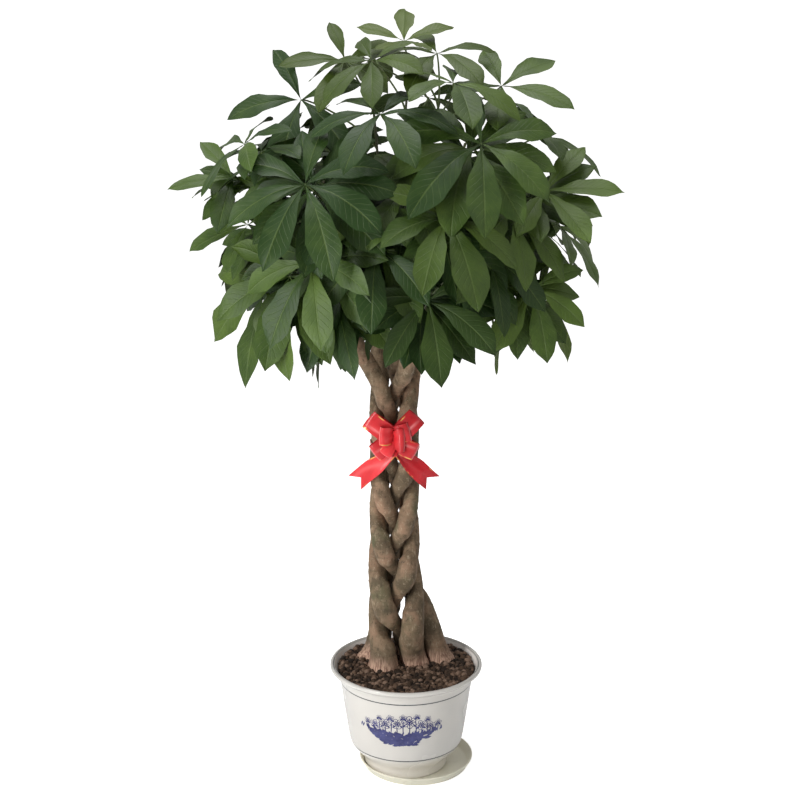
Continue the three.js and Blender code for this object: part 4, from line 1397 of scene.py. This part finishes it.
def makeFoliage(node, curves, leafBlank, stalkBlank, chance):
    # all leaflets and stalks of one packed shoot, as one piece
    axis = Vector(leafSetup["axis"]) * mm
    shoot = ownShoot(node, curves)
    scatter = leafSetup["toneScatter"]
    leaflets, stalks = [], [bendStalk(stalkBlank, shoot, shootSetup["shoot"])]
    paint(stalks[0], tone=0.2, fresh=0.0)
    for group, depth in leavesOf(node, axis, chance):
        hub, normal = group[0]["hub"], group[0]["leafNormal"]
        forward = sum(((leaflet["sections"][-1][0] - hub).normalized() for leaflet in group), Vector())
        forward -= normal * forward.dot(normal)
        forward = forward.normalized() if forward.length > 0.05 else normal.orthogonal().normalized()
        leafTone, fresh = leafTonesAndPaintedLight(hub, depth, axis, chance)
        for leaflet in group:
            part = bendLeaflet(leafBlank, leaflet, chance)
            paint(part, tone=clamped(leafTone + chance.uniform(-scatter, scatter)), fresh=fresh)
            dress(part, leafTop, leafUnder)
            leaflets.append(part)
        curve = stalkCurve(shoot, hub - normal * shootSetup["under"] * mm, normal, forward)
        stalks.append(bendStalk(stalkBlank, curve, shootSetup["stalk"]))
        paint(stalks[-1], tone=leafTone, fresh=1.0)
    for stalk in stalks:
        dress(stalk, stalkGreen)
    foliage = joined(node.name.replace("leafy_shoot", "foliage"), leaflets + stalks)
    smoothShade(foliage, 60)
    setAside(foliage, "leaf", node.name)
    return len(leaflets)


def leafFinish(name):
    look = leafLooks[name]
    made, wire = finish(name, specular=look["specular"])
    along, off = wire.axis("UV", 0), wire.axis("UV", 1).fromMiddle()
    blotch = wire.grain(26, 3, 0.6)
    fine = wire.grain(240, 2, 0.5)
    midrib = 1 - off.step(0.025, 0.075)
    count, slant = leafSetup["veins"]
    veins = wire.maths("FRACT", along * count - off * slant).fromMiddle()
    vein = (1 - veins.step(0.04, 0.22)) * (1 - off.step(0.75, 0.98))
    # the tone holds each leaf's painted light and shade, with its random tone and blotches
    tone = wire.value("tone") * 0.7 + blotch * 0.5
    base = layered(
        tone.step(0.25, 0.95).over(look["deep"], look["light"]),
        (wire.value("fresh"), 0.75, look["young"]),
        (vein, 0.16, look["rib"]),
        (midrib, 0.5, look["rib"]),
    )
    veinHigh, ribHigh, swell = look["relief"]
    relief = vein * veinHigh + midrib * ribHigh + off * (1 - off) * swell + fine * 0.25
    shine = look["roughness"] + blotch * 0.16
    feed(made, colour=base, roughness=shine, normal=wire.height(0.5, 0.0009, relief))
    return made


leafTop, leafUnder = leafFinish("leaf upper side"), leafFinish("leaf underside")
stalkGreen, wire = finish("green stalk", roughness=0.5, specular=0.4)
streak = wire.grain(60, 3)
green = wire.value("fresh").over(shootSetup["old"], shootSetup["fresh"])
green = layered(green, (streak.step(0.45, 0.7), 0.5, shootSetup["streak"]))
feed(stalkGreen, colour=green, normal=wire.height(0.3, 0.0006, streak))

leafBlank, stalkBlank = makeLeafBlank(), makeStalkBlank()
curves = shootCurves()
chance = random.Random(leafSetup["seed"])
count = 0
for name in sorted(cadNodes):
    if name.startswith("leafy_shoot"):
        count += makeFoliage(cadNodes[name], curves, leafBlank, stalkBlank, chance)
remove(leafBlank)
remove(stalkBlank)
print("foliage:", count, "leaflets")


# Ribbon bow, with the tie that holds it on the braid

bowSetup = {
    "cells": (36, 14),  # of each strip, along and across
    "tieCells": (96, 4),
    "thickness": 0.45,
    "loopForm": [  # points of the back and the front half, as shares of length and bulge
        [(0, 0), (0.45, 0), (1, 0), (1, 0.5)],
        [(1, 0.5), (1, 1.1), (0.4, 1.15), (0, 0.15)],
    ],
    "loops": [
        # start, angle, length, width, bulge, lift off the braid, share of the width left at the start, tone:
        # painted shade, from the shaded to the lit red
        ((-9, 671), 142, 80, 37, 14, 0.5, 0.8, 0.55),
        ((-33, 668), 47, 79, 38, 14, 0.5, 0.8, 0.15),
        ((-27, 679), 217, 43, 34, 14, 5, 0.75, 0.35),
        ((-24, 676), -25, 47, 35, 14, 5, 0.75, 0.30),
        ((-24, 680), 238, 34, 25, 12, 9, 0.8, 0.60),
        ((-26, 689), 15, 34, 36, 15, 6, 0.8, 0.30),
        ((-25, 688), 176, 26, 35, 16, 10, 0.85, 0.55),
        ((-24, 682), 1, 21, 44, 15, 11, 0.7, 0.40),
    ],
    "tails": [
        # start, angle, length, width, depth of the swallow tail, wave, tone: painted shade, from the shaded
        # to the lit red
        ((-22, 658), 220.5, 100, 37, 16, 0.3, 0.9),
        ((-19, 658), -43.5, 96, 38, 16, 2.1, 0.0),
    ],
    "knot": (-20, 655),
    "knotWidth": 9,
    "knotReach": (8, 9),  # half its height and half its depth
    "tieTop": 657,
    "tieHeight": 7,
    "weld": 0.02,  # points nearer than this become one
    "flat": (0.034, 0.95),  # metres, the ribbon's width and length when laid out
    # painted shade: each strip's red lies between a shaded and a lit red by its tone
    "shadedRed": (0.34, 0.007, 0.012),
    "litRed": (0.86, 0.048, 0.056),
    # colour of the painted sheen on the ribbon's bends and creases
    "pale": (1.0, 0.40, 0.40),
    "gold": (0.98, 0.58, 0.16),
}


def ribbonStrip(name, place, tone=0.3, pale=lambda t, v: 0.0, cells=bowSetup["cells"]):
    # a flat grid of ribbon, laid by a function of its length and width from 0 to 1 and -1 to 1
    strip = begin(name, bpy.ops.mesh.primitive_grid_add, size=2, calc_uvs=True,
                  x_subdivisions=cells[0], y_subdivisions=cells[1])
    # tone carries the strip's painted shade, pale its painted sheen
    paint(strip, tone=tone, pale=lambda co: pale(co.x * 0.5 + 0.5, co.y))
    shapeBy(strip, lambda co: place(co.x * 0.5 + 0.5, co.y) * mm)
    return strip


def bowPlace(start, angle, along, across, y):
    turn = radians(angle)
    x = start[0] + along * cos(turn) - across * sin(turn)
    z = start[1] + along * sin(turn) + across * cos(turn)
    return Vector((x, y, z))


def ribbonLoop(number, start, angle, length, width, bulge, lift, pinch, tone, backY):
    back, front = ([Vector(spot) * Vector((length, bulge)) for spot in half] for half in bowSetup["loopForm"])

    def place(t, v):
        spot = arch(back, t * 2) if t < 0.5 else arch(front, t * 2 - 1)
        out = clamped(spot.x / length)
        half = width / 2 * mixed(pinch, 1, eased(0, 0.5, out))
        crease = 1.1 * (1 - out) * cos(v * 6 + number) + 0.8 * sin(out * 5 + number) * v
        sag = 0.8 * (1 - v * v) * sin(pi * t)
        return bowPlace(start, angle, spot.x - 1.4 * v * v, half * v, backY - lift - spot.y - crease - sag)

    def pale(t, v):
        # painted sheen: the satin is painted paler where it bends, at the outer end and on one crease that
        # runs from the knot
        end = hill(t - 0.54, 0.04) * eased(90, 25, length)
        line = 0.55 * cos(number * 2.3) * (0.4 + 1.6 * (1 - t))
        crease = hill(v - line, 0.12) * clamped(1.5 - abs(t - 0.8) * 6) * eased(30, 60, length)
        return clamped(end * (1 - 0.3 * v) + 0.8 * crease)

    return ribbonStrip("bow_loop", place, tone, pale)


def ribbonTail(start, angle, length, width, notch, wave, tone, backY):
    # leans back over the round of the braid, with soft waves
    def place(u, v):
        along = u * (length - notch * (1 - abs(v)))
        half = width / 2 * mixed(0.5, 1, eased(0, 0.6, u))
        front = 6 - 8 * u + 3.4 * sin(wave + u * 7) * u ** 0.7 + 1.6 * v * cos(u * 4 + wave)
        front += 0.8 * (1 - u) * cos(v * 7)
        return bowPlace(start, angle, along, half * v, backY - front)

    # painted sheen: a pale streak along the tail, stronger on the lit tail
    def pale(u, v):
        return 0.35 * tone * hill(v - 0.5 * sin(wave + u * 5), 0.3)

    return ribbonStrip("bow_tail", place, tone, pale)


def ribbonKnot(backY):
    knotX, knotZ = bowSetup["knot"]
    reachZ, reachY = bowSetup["knotReach"]

    def place(t, v):
        turn = tau * t
        wide = bowSetup["knotWidth"] / 2 * (1 - 0.22 * cos(turn) ** 2)
        fold = 0.7 * cos(v * 8)
        return Vector((
            knotX + wide * v + 1.2 * sin(turn),
            backY - reachY - (reachY + fold) * cos(turn),
            knotZ + (reachZ + fold) * sin(turn),
        ))

    return ribbonStrip("bow_knot", place)


def makeTie():
    # a narrow ribbon round the braid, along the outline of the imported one
    low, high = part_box("bow_tie")
    middle = (low + high) / 2
    outline = {}
    for vertex in cadNodes["bow_tie"].data.vertices:
        way = vertex.co - middle
        if way.z > 0:
            angle = round(atan2(way.y, way.x), 2)
            outline[angle] = max(outline.get(angle, way), way, key=lambda spot: spot.length)
    ring = [(middle + outline[angle]) / mm for angle in sorted(outline)]
    ring.append(ring[0])
    steps = distances(ring)
    centre, half = (middle / mm).to_2d(), bowSetup["tieHeight"] / 2

    def place(t, v):
        along = t * steps[-1]
        leg = max(i for i, step in enumerate(steps[:-1]) if step <= along)
        spot = ring[leg].lerp(ring[leg + 1], (along - steps[leg]) / (steps[leg + 1] - steps[leg]))
        fold = 0.25 * cos(v * 5 + along * 0.12) - 0.3
        z = bowSetup["tieTop"] + half * (v - 1) + 0.6 * sin(along * 0.07)
        return Vector((*(spot.to_2d() + (spot.to_2d() - centre).normalized() * fold), z))

    return ribbonStrip("bow_tie_band", place, cells=bowSetup["tieCells"])


def makeBow():
    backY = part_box("bow_tie")[0].y / mm - 0.3
    strips = [ribbonLoop(number, *loop, backY) for number, loop in enumerate(bowSetup["loops"])]
    strips += [ribbonTail(*tail, backY) for tail in bowSetup["tails"]]
    strips += [ribbonKnot(backY), makeTie()]
    whole = joined("red_bow", strips)
    editMode()
    bpy.ops.mesh.remove_doubles(threshold=bowSetup["weld"] * mm)
    objectMode()
    thick = whole.modifiers.new("thickness", "SOLIDIFY")
    thick.thickness = bowSetup["thickness"] * mm
    thick.offset = 0
    bpy.ops.object.modifier_apply(modifier=thick.name)
    return whole


satin, wire = finish("red satin ribbon", specular=0.3)
off = wire.axis("UV", 1).fromMiddle()
threads = wire.grain(1, 2, stretch=(700, 30, 1), kind="UV")
gold = off.step(0.84, 0.88) * (1 - off.step(0.94, 0.97)) * wire.grain(30, 2).step(0.55, 0.64)
# each strip's tone is its painted shade, with a little random tone
tone = wire.value("tone") * 0.85 + wire.grain(45, 3).step(0.3, 0.7) * 0.15
base = layered(
    tone.over(bowSetup["shadedRed"], bowSetup["litRed"]),
    # painted sheen on the bends, creases and tails
    (wire.value("pale"), 0.6, bowSetup["pale"]),
    (gold, 0.85, bowSetup["gold"]),
)
feed(
    satin,
    colour=base,
    roughness=0.16 + threads * 0.1,
    metallic=gold * 0.6,
    normal=wire.height(0.12, 0.0003, threads),
)
bow = makeBow()
dress(bow, satin)
smoothShade(bow, 50)
setAside(bow, "ribbon", "bow", "bow_tie")
print("bow:", len(bow.data.polygons), "faces")
